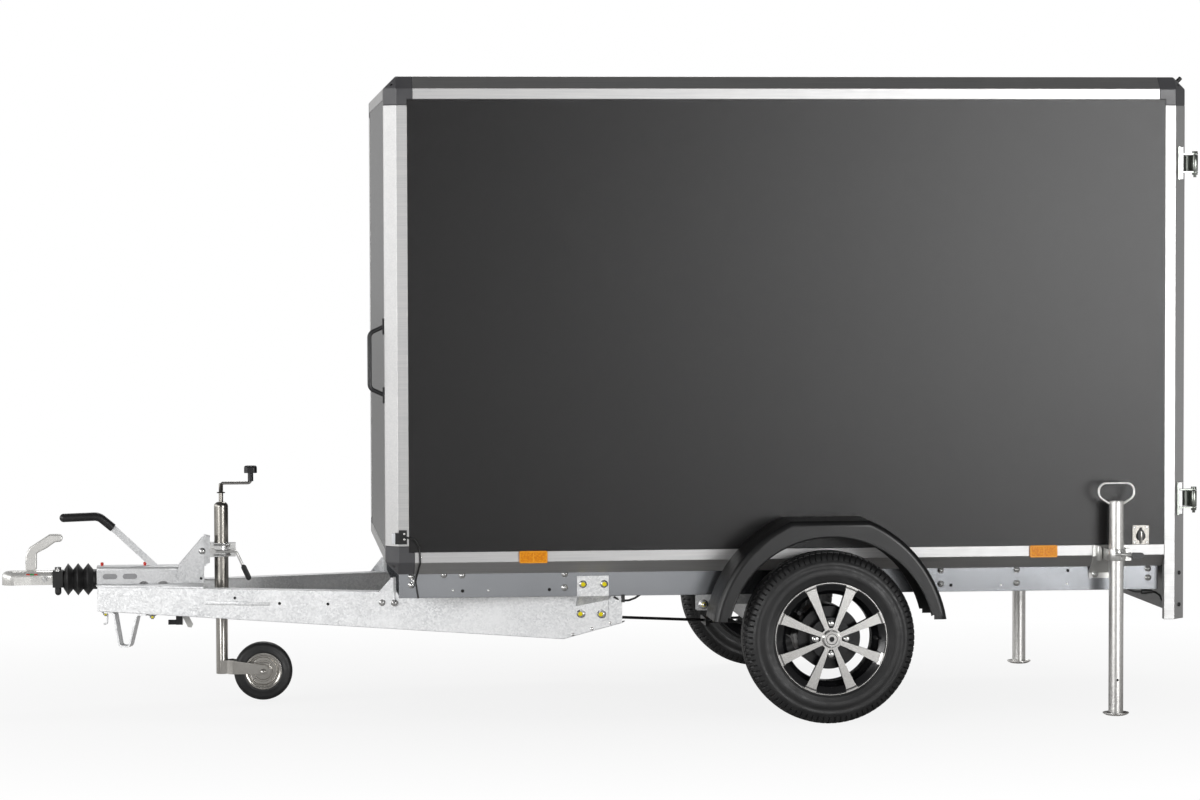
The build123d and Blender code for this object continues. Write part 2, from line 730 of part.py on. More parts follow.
def guard_outline(inset):
    """The mudguard's outline: a flat top and two round flanks, drawn in from its outside."""
    foot = (guard_foot - inset, guard_foot_rise)
    scale = (guard_foot - inset) / guard_foot
    flank = (guard_flank[0] * scale, guard_flank[1] * scale)
    corner = (guard_corner[0], guard_corner[1] - inset)
    with BuildLine(mode=Mode.PRIVATE) as outline:
        for hand in sides:
            ThreePointArc(
                (wheel_x + hand * foot[0], tyre_radius + foot[1]),
                (wheel_x + hand * flank[0], tyre_radius + flank[1]),
                (wheel_x + hand * corner[0], tyre_radius + corner[1]),
            )
            Line((wheel_x + hand * corner[0], tyre_radius + corner[1]), (wheel_x, tyre_radius + corner[1]))
        Line((wheel_x - foot[0], tyre_radius + foot[1]), (wheel_x + foot[0], tyre_radius + foot[1]))
    make_face(outline.edges())


with BuildPart() as mudguards:
    with BuildSketch(Plane.XZ.offset(half_width)):
        guard_outline(0)
    extrude(amount=guard_width)
    outer_edges = mudguards.faces().sort_by(Axis.Y)[0].edges()
    fillet(outer_edges.sort_by(Axis.Z)[1:], guard_round)
    with BuildPart(mode=Mode.SUBTRACT) as guard_hollow:
        with BuildSketch(Plane.XZ.offset(half_width + guard_wall)):
            guard_outline(guard_wall)
        extrude(amount=guard_width - 2 * guard_wall)
        inner_edges = guard_hollow.faces().sort_by(Axis.Y)[0].edges()
        fillet(inner_edges.sort_by(Axis.Z)[1:], guard_round - guard_wall)
    guard_foot_z = tyre_radius + guard_foot_rise
    with BuildSketch(Plane.XZ.offset(half_width)):
        with Locations((wheel_x, tyre_radius - guard_opening_drop)):
            Circle(guard_opening)
        with Locations((wheel_x, guard_foot_z)):
            Rectangle(2 * guard_opening, 2 * guard_toe)
    extrude(amount=guard_width, mode=Mode.SUBTRACT)
    mirror(about=Plane.XZ)
finish(mudguards, "mudguards")

# ------------------------------------------------------- coupling and overrun
coupling_rise = 18          # axis of the coupling's tube above the beams' tops
ball_radius = 25
socket_clearance = 0.5
head_radius = 36            # round the ball
neck_half = 27
head_above = 31             # its top and bottom from the axis
head_below = 16
head_round = 20
head_rear_x = 172           # head's rear end behind the tip
socket_rise = 10            # ball's middle above the head's lower edge
collar_length = 34
bellows_rear_x = 321
coupling_z = beam_top + coupling_rise
head_top = coupling_z + head_above
head_bottom = coupling_z - head_below
ball_x = nose_x + head_radius
head_rear = nose_x + head_rear_x
bellows_front = head_rear + collar_length
bellows_rear = nose_x + bellows_rear_x
socket_radius = ball_radius + socket_clearance
with BuildPart() as coupling_head:
    with BuildSketch(Plane.XY.offset(head_bottom)):
        with Locations((ball_x, 0)):
            Circle(head_radius)
        with Locations((ball_x + head_radius, 0)):
            Rectangle(2 * neck_half, 2 * neck_half)
        make_hull()
        with Locations(((ball_x + head_rear) / 2, 0)):
            Rectangle(head_rear - ball_x, 2 * neck_half)
    extrude(amount=head_top - head_bottom)
    top_edges = coupling_head.faces().sort_by(Axis.Z)[-1].edges()
    fillet(top_edges.filter_by(lambda edge: edge.center().X < head_rear - 1), head_round)
    with Locations((ball_x, 0, head_bottom + socket_rise)):
        Sphere(socket_radius, mode=Mode.SUBTRACT)
    rod_z(ball_x, 0, socket_radius, head_bottom, head_bottom + socket_rise, mode=Mode.SUBTRACT)
finish(coupling_head, "coupling_head")

handle_width = 26
handle_bend = 11
handle_edge = 5
handle_side = [             # behind the tip, above the head's top
    (80, 0),
    (80, 56),
    (94, 80),
    (162, 124),
    (205, 124),
    (205, 99),
    (180, 97),
    (152, 77),
    (118, 60),
    (118, 0),
]
with BuildPart() as coupling_handle:
    with BuildSketch(Plane.XZ.offset(-handle_width / 2)) as handle_face:
        Polygon(*[(nose_x + x, head_top + z) for x, z in handle_side], align=None)
        fillet(handle_face.vertices().sort_by(Axis.Z)[2:], handle_bend)
    extrude(amount=handle_width)
    side_faces = coupling_handle.faces().filter_by(Axis.Y)
    fillet(side_faces.edges().filter_by(lambda edge: edge.center().Z > head_top + 1), handle_edge)
finish(coupling_handle, "coupling_handle")

bellows_peak = 55
bellows_valley = 34
bellows_neck = 28
tube_radius = 24.5
fold_length = 34
fold_count = 3
collar_half = 33
collar_below = 25
lug_radius = 11
lug_below = 54
lug_above = 42
with BuildPart() as bellows:
    with BuildSketch(Plane.XZ):
        with BuildLine():
            folds = []
            for n in range(fold_count):
                start = bellows_front + n * fold_length
                folds.append((start, coupling_z + (bellows_valley if n else bellows_neck)))
                folds.append((start + fold_length / 2, coupling_z + bellows_peak))
            last_fold = bellows_front + fold_count * fold_length
            Polyline(
                (head_rear, coupling_z + bellows_neck),
                *folds,
                (last_fold, coupling_z + bellows_valley),
                (bellows_rear, coupling_z + bellows_valley),
                (bellows_rear, coupling_z + tube_radius),
                (head_rear, coupling_z + tube_radius),
                close=True,
            )
        make_face()
    revolve(axis=Axis((0, 0, coupling_z), (1, 0, 0)))
    slab(head_rear, bellows_front, -collar_half, collar_half, coupling_z - collar_below, head_top)
    lug_x = (head_rear + bellows_front) / 2
    lug_end = coupling_z - lug_below + lug_radius
    rod_z(lug_x, 0, lug_radius, lug_end, coupling_z + lug_above)
    with Locations((lug_x, 0, lug_end)):
        Sphere(lug_radius)
    rod_x(0, coupling_z, tube_radius, head_rear, bellows_rear, mode=Mode.SUBTRACT)
finish(bellows, "bellows")

tube_in_housing = 40
with BuildPart() as drawtube:
    rod_x(0, coupling_z, tube_radius, head_rear, bellows_rear + tube_in_housing)
finish(drawtube, "drawtube")

housing_rear_x = 683
housing_half = 45
housing_height = 63
housing_wall = 5
housing_round = 12
lever_slot = 14
lever_slot_front = 192      # slot's ends ahead of the housing's rear end
lever_slot_rear = 118
boss_radius = 9             # pressed ovals along each side
boss_length = 48
boss_rise = 2
boss_places = (45, 112)
boss_height = 30            # above the beams' tops
side_holes = [(159, -3, 17), (225, -11, 24)]    # behind the housing's front, height, radius
housing_rear = nose_x + housing_rear_x
housing_top = beam_top + housing_height
with BuildPart() as overrun_housing:
    with BuildSketch(Plane.YZ.offset(bellows_rear)) as housing_face:
        with Locations((0, (beam_top + housing_top) / 2)):
            Rectangle(2 * housing_half, housing_top - beam_top)
        fillet(housing_face.vertices().group_by(Axis.Y)[-1], housing_round)
    extrude(amount=housing_rear - bellows_rear)
    rear_spread = beam_tip_y + (housing_rear - beam_front_x) * beam_spread / beam_run
    with BuildSketch(Plane.XY.offset(beam_top)):
        Polygon(
            (bellows_rear, -beam_tip_y),
            (beam_front_x, -beam_tip_y),
            (housing_rear, -rear_spread),
            (housing_rear, rear_spread),
            (beam_front_x, beam_tip_y),
            (bellows_rear, beam_tip_y),
            align=None,
        )
    extrude(amount=housing_wall)
    for side in sides:
        for place in boss_places:
            with BuildSketch(Plane.XZ.offset(-side * housing_half)):
                with Locations((bellows_rear + place, beam_top + boss_height)):
                    SlotOverall(boss_length, 2 * boss_radius)
            extrude(amount=-side * boss_rise)
    slab(bellows_rear + housing_wall, housing_rear, -housing_half + housing_wall,
         housing_half - housing_wall, beam_top, housing_top - housing_wall, mode=Mode.SUBTRACT)
    for side in sides:
        for place, height, radius in side_holes:
            with Locations((bellows_rear + place, side * housing_half, beam_top + height)):
                Sphere(radius, mode=Mode.SUBTRACT)
    rod_x(0, coupling_z, tube_radius, bellows_rear, bellows_rear + housing_wall, mode=Mode.SUBTRACT)
    slab(housing_rear - lever_slot_front, housing_rear - lever_slot_rear, -lever_slot / 2, lever_slot / 2,
         housing_top - housing_wall, housing_top, mode=Mode.SUBTRACT)
finish(overrun_housing, "overrun_housing")

# A bent strip under the left beam, with a wire hook at its front end.
loop_start = 22             # along the beam
loop_ear = 34
loop_slant = 24
loop_drop = 112
loop_foot = 34
loop_width = 40
loop_bar = 6
loop_bend = 12
hook_radius = 3
hook_inset = 6              # from the strip's end
hook_drop = (38, 42)
loop_points = [
    (loop_start, 0),
    (loop_start + loop_ear, 0),
    (loop_start + loop_ear + loop_slant, -loop_drop),
    (loop_start + loop_ear + loop_slant + loop_foot, -loop_drop),
    (loop_start + loop_ear + 2 * loop_slant + loop_foot, 0),
    (loop_start + 2 * loop_ear + 2 * loop_slant + loop_foot, 0),
]
strip_plane = Plane(
    origin=beam_plane.from_local_coords(Vector(0, -beam_depth_front - loop_bar / 2, 0)),
    x_dir=beam_plane.from_local_coords(Vector(beam_taper_start, -beam_depth_most, 0))
    - beam_plane.from_local_coords(Vector(0, -beam_depth_front, 0)),
    z_dir=beam_plane.z_dir,
)
strip_inset = (beam_flange - loop_width) / 2
with BuildPart() as hook_loop:
    with BuildLine(mode=Mode.PRIVATE) as loop_path:
        FilletPolyline(*loop_points, radius=loop_bend)
    with BuildSketch(strip_plane.offset(-strip_inset)):
        trace(loop_path.line.edges(), line_width=loop_bar)
    extrude(amount=-loop_width)
    wire_side = [
        (loop_start + hook_inset, -loop_bar / 3),
        (loop_start + hook_inset, -hook_drop[0]),
        (loop_start - hook_inset, -hook_drop[1]),
    ]
    wire = [strip_plane.from_local_coords(Vector(u, v, -beam_flange / 2)) for u, v in wire_side]
    bent_rod(wire, 2 * hook_radius, hook_radius)
finish(hook_loop, "hook_loop")

lever_width = 8
lever_bar = 22
lever_foot = (527, 49)      # behind the tip, above the beams' tops
grip_path = [(376, 192), (328, 232), (210, 228)]
grip_bend = 40
grip_radius = 14.5
with BuildPart() as brake_lever:
    with BuildSketch(Plane.XZ.offset(-lever_width / 2)):
        with BuildLine():
            Line((nose_x + lever_foot[0], beam_top + lever_foot[1]),
                 (nose_x + grip_path[0][0], beam_top + grip_path[0][1]))
        trace(line_width=lever_bar)
    extrude(amount=lever_width)
finish(brake_lever, "brake_lever")

with BuildPart() as brake_grip:
    grip_line = [(nose_x + x, 0, beam_top + z) for x, z in grip_path]
    bent_rod(grip_line, grip_bend, grip_radius)
    with Locations(grip_line[-1]):
        Sphere(grip_radius)
    add(brake_lever.part, mode=Mode.SUBTRACT)
finish(brake_grip, "brake_grip")

# Brake linkage: a lever under the housing, a rod to the equaliser, a cable to each wheel.
link_x = nose_x + 600
link_y = -62                # beside the support wheel's way up
link_half = 12
link_thick = 16
link_drop = 135             # below the beams' tops
link_stub_length = 38
link_stub_radius = 8.5
link_tab = [(8, -103), (30, -103), (46, -133), (40, -145), (28, -143)]
link_rod_drop = 60
link_rod_radius = 5
equaliser_x = nose_x + 2402
cable_under = 37            # cables pass below the axle tube by this
equaliser_half = 70
equaliser_bar = 12
equaliser_height = 26
cable_y = 60
cable_radius = 4.5
cable_bend = 80
cable_drop = 42             # cables enter the back plates below the wheels' middles
cable_ahead = 60            # and ahead of them
link_low = beam_top - link_drop
equaliser_z = axle_z - axle_tube_size / 2 - cable_under
with BuildPart() as brake_rod:
    slab(link_x - link_half, link_x + link_half, link_y - link_thick / 2, link_y + link_thick / 2, link_low,
         beam_top)
    rod_x(link_y, link_low + link_stub_radius, link_stub_radius, link_x - link_stub_length, link_x)
    side_plate([(link_x + x, beam_top + z) for x, z in link_tab], link_y - link_thick / 2,
               link_y - link_thick / 4)
    link_rod_z = beam_top - link_rod_drop
    bent_rod([(link_x, link_y, link_rod_z), (link_x + 3 * link_half, link_y, link_rod_z),
              (equaliser_x, 0, equaliser_z)], cable_bend, link_rod_radius)
    slab(equaliser_x, equaliser_x + equaliser_bar, -equaliser_half, equaliser_half,
         equaliser_z - equaliser_height / 2, equaliser_z + equaliser_height / 2)
    for side in sides:
        cable_z = tyre_radius - cable_drop
        bent_rod([(equaliser_x, side * cable_y, equaliser_z),
                  (axle_x, side * cable_y, equaliser_z),
                  (wheel_x - cable_ahead, side * rail_y / 2, cable_z),
                  (wheel_x - cable_ahead, side * backplate_y, cable_z)], cable_bend, cable_radius)
finish(brake_rod, "brake_rod")

# -------------------------------------------------------------- support wheel
jockey_x = nose_x + 743     # axis of its tubes
jockey_radius = 24
jockey_bore = 21.5
jockey_inner_radius = 20
jockey_wall = 3
jockey_below = 93           # outer tube's ends from the beams' tops
jockey_above = 261
dome_height = 17
dome_mid = (19, 13)         # a place on the tube's round top, from its axis and above its edge
ferrule_radius = 7.5
ferrule_height = 31
jockey_foot = 92            # inner tube's lower end
jockey_trail = 140
jockey_wheel_radius = 100
jockey_axle_radius = 8
jockey_hub_gap = 0.1
jockey_low = beam_top - jockey_below
jockey_high = beam_top + jockey_above
dome_top = jockey_high + dome_height
ferrule_top = dome_top + ferrule_height
with BuildPart() as jockey_tube:
    with BuildSketch(Plane.XZ):
        with BuildLine():
            Polyline(
                (jockey_x, jockey_high),
                (jockey_x + jockey_bore, jockey_high),
                (jockey_x + jockey_bore, jockey_low),
                (jockey_x + jockey_radius, jockey_low),
                (jockey_x + jockey_radius, jockey_high),
            )
            ThreePointArc(
                (jockey_x + jockey_radius, jockey_high),
                (jockey_x + dome_mid[0], jockey_high + dome_mid[1]),
                (jockey_x + ferrule_radius, dome_top),
            )
            Polyline(
                (jockey_x + ferrule_radius, dome_top),
                (jockey_x + ferrule_radius, ferrule_top),
                (jockey_x, ferrule_top),
                (jockey_x, jockey_high),
            )
        make_face()
    revolve(axis=Axis((jockey_x, 0, 0), (0, 0, 1)))
finish(jockey_tube, "jockey_tube")

crank_radius = 5.5
crank_reach = 101
crank_rise = 33
crank_bend = 10
crank_grip_radius = 9.5
crank_grip = 34
crank_knob = 44
crank_knob_height = 25
knob_round = 7
crank_x = jockey_x + crank_reach
crank_z = ferrule_top + crank_rise
with BuildPart() as jockey_crank:
    bent_rod([(jockey_x, 0, ferrule_top), (jockey_x, 0, crank_z), (crank_x, 0, crank_z),
              (crank_x, 0, crank_z + crank_grip)], crank_bend, crank_radius)
    rod_z(crank_x, 0, crank_grip_radius, crank_z + crank_radius, crank_z + crank_grip)
    with BuildSketch(Plane.XY.offset(crank_z + crank_grip)):
        with Locations((crank_x, 0)):
            RectangleRounded(crank_knob, 0.75 * crank_knob, 2 * knob_round)
    extrude(amount=crank_knob_height)
    fillet(jockey_crank.faces().sort_by(Axis.Z)[-1].edges(), knob_round)
finish(jockey_crank, "jockey_crank")

fork_half = 31
fork_wall = 5
fork_height = 44
fork_lift = 3               # fork's lower edge above the tube's lower end
fork_neck = 18
fork_bend = 36
fork_end_radius = 22
fork_nut = 8
fork_y = fork_half + fork_wall
with BuildPart() as jockey_fork:
    with BuildSketch(Plane.XY.offset(jockey_foot)):
        for side in sides:
            with BuildLine():
                Polyline(
                    (jockey_x - fork_wall, side * (jockey_inner_radius + fork_wall / 2 - 1)),
                    (jockey_x + fork_neck, side * (jockey_inner_radius + fork_wall / 2 - 1)),
                    (jockey_x + fork_bend, side * (fork_half + fork_wall / 2)),
                    (jockey_x + jockey_trail + fork_end_radius, side * (fork_half + fork_wall / 2)),
                )
            trace(line_width=fork_wall)
    extrude(amount=fork_height + fork_end_radius)
    with BuildSketch(Plane.XZ.offset(-fork_y - 1)):
        with Locations((jockey_x + fork_bend / 2, jockey_foot + fork_lift + fork_height / 2)):
            Rectangle(fork_bend, fork_height)
        with Locations((jockey_x + jockey_trail, jockey_wheel_radius)):
            Circle(fork_end_radius)
        make_hull()
        with Locations((jockey_x, jockey_foot + fork_lift + fork_height / 2)):
            Rectangle(2 * fork_wall, fork_height)
    extrude(amount=2 * fork_y + 2, mode=Mode.INTERSECT)
    rod_z(jockey_x, 0, jockey_inner_radius, jockey_foot, jockey_high - 2 * dome_height)
    rod_z(jockey_x, 0, jockey_inner_radius - jockey_wall, jockey_foot, jockey_high - 2 * dome_height,
          mode=Mode.SUBTRACT)
    rod_y(jockey_x + jockey_trail, jockey_wheel_radius, jockey_axle_radius, -fork_y - fork_nut,
          fork_y + fork_nut)
finish(jockey_fork, "jockey_fork")

jockey_rim_radius = 63
jockey_hub_radius = 19
jockey_rim_profile = [      # from the wheel's middle plane, from its axis
    (fork_half - 2, jockey_axle_radius + jockey_hub_gap),
    (fork_half - 2, jockey_hub_radius),
    (13, jockey_hub_radius),
    (13, 29),
    (8, 33),
    (8, 46),
    (19, 54),
    (22, jockey_rim_radius),
]
jockey_axle = Axis((jockey_x + jockey_trail, 0, jockey_wheel_radius), (0, 1, 0))
with BuildPart() as jockey_rim:
    with BuildSketch(Plane.YZ.offset(jockey_x + jockey_trail)):
        outline = [(y, jockey_wheel_radius + r) for y, r in jockey_rim_profile]
        Polygon(*outline, *[(-y, z) for y, z in reversed(outline)], align=None)
    revolve(axis=jockey_axle)
finish(jockey_rim, "jockey_rim")

jockey_tyre_half = 24
with BuildPart() as jockey_tyre:
    rod_y(jockey_x + jockey_trail, jockey_wheel_radius, jockey_wheel_radius, -jockey_tyre_half,
          jockey_tyre_half)
    rod_y(jockey_x + jockey_trail, jockey_wheel_radius, jockey_rim_radius, -jockey_tyre_half,
          jockey_tyre_half, mode=Mode.SUBTRACT)
finish(jockey_tyre, "jockey_tyre")

clamp_rise = 91             # above the beams' tops
clamp_height = 48
clamp_wall = 6
clamp_outer = jockey_radius + clamp_wall
plate_wall = 5
plate_corner = 5
plate_head = 8              # thickness of the plate that carries the clamp
plate_outline = [           # from the housing's rear end, above the beams' tops
    (1, 164),
    (-84, 65),
    (-92, 30),
    (-81, 9),
    (-26, 9),
    (1, 39),
]
plate_hollow = [            # what is left between the two side plates and their cover
    (-110, 0),
    (-110, 63),
    (-74, 63),
    (-5, 143),
    (-5, 63),
    (10, 63),
    (10, 0),
]
clamp_cheek = [(0, 68), (0, 164), (13, 160), (13, 72)]
cheek_gap = 1               # from the clamp between them
cheek_wall = 6
plate_half = housing_half + boss_rise
with BuildPart() as jockey_bracket:
    side_plate([(housing_rear + x, beam_top + z) for x, z in plate_outline], -plate_half - plate_wall,
               plate_half + plate_wall, corner=plate_corner)
    side_plate([(housing_rear + x, beam_top + z) for x, z in plate_hollow], -plate_half, plate_half,
               mode=Mode.SUBTRACT)
    slab(housing_rear, housing_rear + plate_head, -plate_half, plate_half, housing_top,
         beam_top + plate_outline[0][1])
    for side in sides:
        cheek = sorted(side * (clamp_outer + cheek_gap + wall) for wall in (0, cheek_wall))
        side_plate([(housing_rear + plate_head + x, beam_top + z) for x, z in clamp_cheek], *cheek)
finish(jockey_bracket, "jockey_bracket")

clamp_low = beam_top + clamp_rise
clamp_high = clamp_low + clamp_height
clamp_ear = 20
clamp_ear_half = 12
jockey_clearance = 0.1
with BuildPart() as jockey_clamp:
    with BuildSketch(Plane.XY.offset(clamp_low)):
        with Locations((jockey_x, 0)):
            Circle(clamp_outer)
        with Locations(((housing_rear + plate_head + jockey_x) / 2, 0)):
            Rectangle(jockey_x - housing_rear - plate_head, 2 * clamp_outer)
        with Locations((jockey_x + clamp_outer + clamp_ear / 2 - 1, 0)):
            Rectangle(clamp_ear, 2 * clamp_ear_half)
    extrude(amount=clamp_high - clamp_low)
    rod_z(jockey_x, 0, jockey_radius + jockey_clearance, clamp_low, clamp_high, mode=Mode.SUBTRACT)
finish(jockey_clamp, "jockey_clamp")

clamp_rod_radius = 4.5
clamp_rod_y = clamp_outer + 10
clamp_rod_z = clamp_low + 20
clamp_pivot_x = jockey_x - 28
clamp_bend_x = jockey_x + 50
clamp_tip = (jockey_x + 92, clamp_low - 70)
clamp_tip_start = (jockey_x + 76, clamp_low - 35)
clamp_tip_radius = 9
clamp_pivot_radius = 9
with BuildPart() as clamp_lever:
    rod_y(clamp_pivot_x, clamp_rod_z, clamp_pivot_radius, -clamp_rod_y - clamp_rod_radius, -clamp_outer)
    bent_rod([(clamp_pivot_x, -clamp_rod_y, clamp_rod_z), (clamp_bend_x, -clamp_rod_y, clamp_rod_z),
              (clamp_tip[0], -clamp_rod_y, clamp_tip[1])], 3 * clamp_rod_radius, clamp_rod_radius)
    with BuildSketch(Plane.XZ.offset(clamp_rod_y)):
        with Locations(clamp_tip_start, clamp_tip):
            Circle(clamp_tip_radius - clamp_rod_radius)
        make_hull()
        offset(amount=clamp_rod_radius)
    extrude(amount=clamp_tip_radius, both=True)
    fillet(clamp_lever.faces().filter_by(Axis.Y).sort_by(SortBy.AREA)[-2:].edges(), clamp_rod_radius)
finish(clamp_lever, "clamp_lever")

# ---------------------------------------------------------- rear support legs
leg_inset = 254             # tube's axis ahead of the body's rear face
leg_stand = 72              # tube's axis out from the body's side
leg_radius = 24.15
leg_bore = 21.5
leg_rise = 224              # tube's top above the box's underside
foot_radius = 43
foot_edge = 3
foot_flat = 20
foot_rise = 8
foot_bottom = 6
leg_loop_half = 59
leg_loop_rise = 60          # loop's top above the tube's
leg_loop_radius = 4
leg_loop_bend = 26
loop_low = 8                # loop's ends below the tube's top
loop_side_rise = 16         # lower end of its upright sides above the tube's top
leg_x = body_rear - leg_inset
leg_y = half_width + leg_stand
leg_top = body_bottom + leg_rise
with BuildPart() as support_leg:
    with BuildSketch(Plane.XZ.offset(leg_y)):
        with BuildLine():
            Polyline(
                (leg_x, 0),
                (leg_x + foot_flat, 0),
            )
            ThreePointArc(
                (leg_x + foot_flat, 0),
                (leg_x + (foot_flat + foot_radius) / 2, foot_rise / 4),
                (leg_x + foot_radius, foot_rise),
            )
            Line((leg_x + foot_radius, foot_rise), (leg_x + foot_radius, foot_rise + foot_edge))
            ThreePointArc(
                (leg_x + foot_radius, foot_rise + foot_edge),
                (leg_x + (leg_radius + foot_radius) / 2, foot_bottom + 1),
                (leg_x + leg_radius, foot_bottom),
            )
            Polyline(
                (leg_x + leg_radius, foot_bottom),
                (leg_x + leg_radius, leg_top),
                (leg_x + leg_bore, leg_top),
                (leg_x + leg_bore, foot_bottom),
                (leg_x, foot_bottom),
                (leg_x, 0),
            )
        make_face()
    revolve(axis=Axis((leg_x, -leg_y, 0), (0, 0, 1)))
    loop_mid = (leg_bore + leg_radius) / 2
    bent_rod([(leg_x - loop_mid, -leg_y, leg_top - loop_low),
              (leg_x - leg_loop_half, -leg_y, leg_top + loop_side_rise),
              (leg_x - leg_loop_half, -leg_y, leg_top + leg_loop_rise),
              (leg_x + leg_loop_half, -leg_y, leg_top + leg_loop_rise),
              (leg_x + leg_loop_half, -leg_y, leg_top + loop_side_rise),
              (leg_x + loop_mid, -leg_y, leg_top - loop_low)], leg_loop_bend, leg_loop_radius)
write_mirrored(support_leg, "support_leg_left", "support_leg_right")

leg_clamp_low = body_bottom + 24
leg_clamp_high = body_bottom + 73
leg_clearance = 0.1
band_wall = 7
band_inset = 5
band_reach = 48             # band's ear behind the tube's axis
ear_half = 10
mount_half = 62
mount_wall = 5
mount_rear = 52
skin = mount_wall / 2
leg_rod_radius = 4.5
leg_rod_z = body_bottom + 47
leg_grip_radius = 10
leg_grip_end = 84
mount_low = body_bottom - 40
fold_top = body_bottom + chamfer_leg - skin / 2
band_outer = leg_radius + band_wall
with BuildPart() as leg_clamps:
    # mounting plate, folded under the box's chamfer to the rail
    with BuildSketch(Plane.YZ.offset(leg_x - mount_half)):
        with BuildLine():
            Polyline(
                (-half_width - skin, leg_clamp_high),
                (-half_width - skin, fold_top),
                (-rail_y - skin, fold_top - rail_inset),
                (-rail_y - skin, mount_low),
            )
        trace(line_width=mount_wall)
    extrude(amount=mount_half + mount_rear)
    with BuildSketch(Plane.XY.offset(leg_clamp_low + band_inset)):
        with Locations((leg_x, -leg_y)):
            Circle(band_outer)
        with Locations((leg_x, (-half_width - leg_y) / 2)):
            Rectangle(2 * band_outer, leg_y - half_width)
        with Locations((leg_x + band_reach / 2, -leg_y)):
            Rectangle(band_reach, 2 * ear_half)
    extrude(amount=leg_clamp_high - leg_clamp_low - 2 * band_inset)
    rod_z(leg_x, -leg_y, leg_radius + leg_clearance, leg_clamp_low, leg_clamp_high, mode=Mode.SUBTRACT)
    # hinge pin ahead of the band, and the clamping lever across its outer side
    rod_z(leg_x - mount_half + 2 * ear_half, -half_width - ear_half, ear_half, leg_clamp_low,
          leg_clamp_high)
    rod_level_y = -leg_y - band_outer - leg_rod_radius + 1
    bent_rod([(leg_x - ear_half, rod_level_y + leg_rod_radius, leg_rod_z + leg_rod_radius),
              (leg_x + ear_half, rod_level_y, leg_rod_z + leg_rod_radius),
              (leg_x + leg_grip_end - leg_grip_radius, rod_level_y, leg_rod_z)], ear_half, leg_rod_radius)
    with BuildSketch(Plane.XZ.offset(-rod_level_y)):
        with Locations((leg_x + band_reach + leg_rod_radius, leg_rod_z),
                       (leg_x + leg_grip_end - leg_grip_radius, leg_rod_z)):
            Circle(leg_grip_radius - leg_rod_radius)
        make_hull()
        offset(amount=leg_rod_radius)
    extrude(amount=0.8 * leg_grip_radius, both=True)
    mirror(about=Plane.XZ)
finish(leg_clamps, "leg_clamps")

# ------------------------------------------------------------ small fittings
reflector_length = 92
reflector_height = 40
reflector_depth = 7
reflector_round = 5
reflector_rise = 56          # above the box's underside
reflector_front_inset = 480
reflector_rear_inset = 482
reflector_z = body_bottom + reflector_rise
reflector_places = (body_front + reflector_front_inset, body_rear - reflector_rear_inset)
with BuildPart() as side_reflectors:
    for side in sides:
        with BuildSketch(Plane.XZ.offset(half_width if side < 0 else -half_width - reflector_depth)):
            for place in reflector_places:
                with Locations((place, reflector_z)):
                    RectangleRounded(reflector_length, reflector_height, reflector_round)
        extrude(amount=reflector_depth)
finish(side_reflectors, "side_reflectors")

catch_inset = 155           # ahead of the body's rear face
catch_rise = 107            # above the box's underside
catch_width = 55
catch_height = 63
catch_wall = 3
catch_hook_width = 20
catch_hook_height = 36
catch_hook_depth = 10
catch_x = body_rear - catch_inset
catch_z = body_bottom + catch_rise
with BuildPart() as door_catches:
    with BuildSketch(Plane.XZ.offset(half_width)):
        with Locations((catch_x, catch_z)):
            RectangleRounded(catch_width, catch_height, catch_wall)
    extrude(amount=catch_wall)
    with BuildSketch(Plane.XZ.offset(half_width)):
        with Locations((catch_x, catch_z)):
            SlotOverall(catch_hook_height, catch_hook_width, rotation=90)
    extrude(amount=catch_hook_depth)
    mirror(about=Plane.XZ)
finish(door_catches, "door_catches")

grab_reach = 48
grab_radius = 7
grab_inset = 36             # in from the box's side
grab_low = body_bottom + 585
grab_high = body_bottom + 809
grab_foot = 52
grab_foot_width = 26
grab_foot_wall = 6
grab_bend = 22
with BuildPart() as grab_handle:
    grab_y = -half_width + chamfer_leg + grab_inset / 2
    bent_rod([(body_front, grab_y, grab_low), (body_front - grab_reach, grab_y, grab_low + grab_bend),
              (body_front - grab_reach, grab_y, grab_high - grab_bend), (body_front, grab_y, grab_high)],
             grab_bend, grab_radius)
    for height in (grab_low, grab_high):
        slab(body_front - grab_foot_wall, body_front, grab_y - grab_foot_width / 2,
             grab_y + grab_foot_width / 2, height - grab_foot / 2, height + grab_foot / 2)
    slab(body_front, body_front + grab_reach, grab_y - grab_foot, grab_y + grab_foot,
         grab_low - grab_foot, grab_high + grab_foot, mode=Mode.SUBTRACT)
finish(grab_handle, "grab_handle")

lamp_arm_front = 42         # lamp bracket on the front post's side face
lamp_arm_rear = 68
lamp_arm_wall = 4
lamp_arm_low = 102          # above the box's underside
lamp_arm_high = 148
front_lamp_length = 24
front_lamp_width = 26
front_lamp_low = 104
front_lamp_high = 140
with BuildPart() as front_lamps:
    slab(body_front + lamp_arm_front, body_front + lamp_arm_rear, -half_width - lamp_arm_wall, -half_width,
         body_bottom + lamp_arm_low, body_bottom + lamp_arm_high)
    slab(body_front + lamp_arm_front - front_lamp_length, body_front + lamp_arm_front,
         -half_width - front_lamp_width, -half_width,
         body_bottom + front_lamp_low, body_bottom + front_lamp_high)
    fillet(front_lamps.faces().sort_by(Axis.X)[0].edges(), lamp_arm_wall)
    mirror(about=Plane.XZ)
finish(front_lamps, "front_lamps")

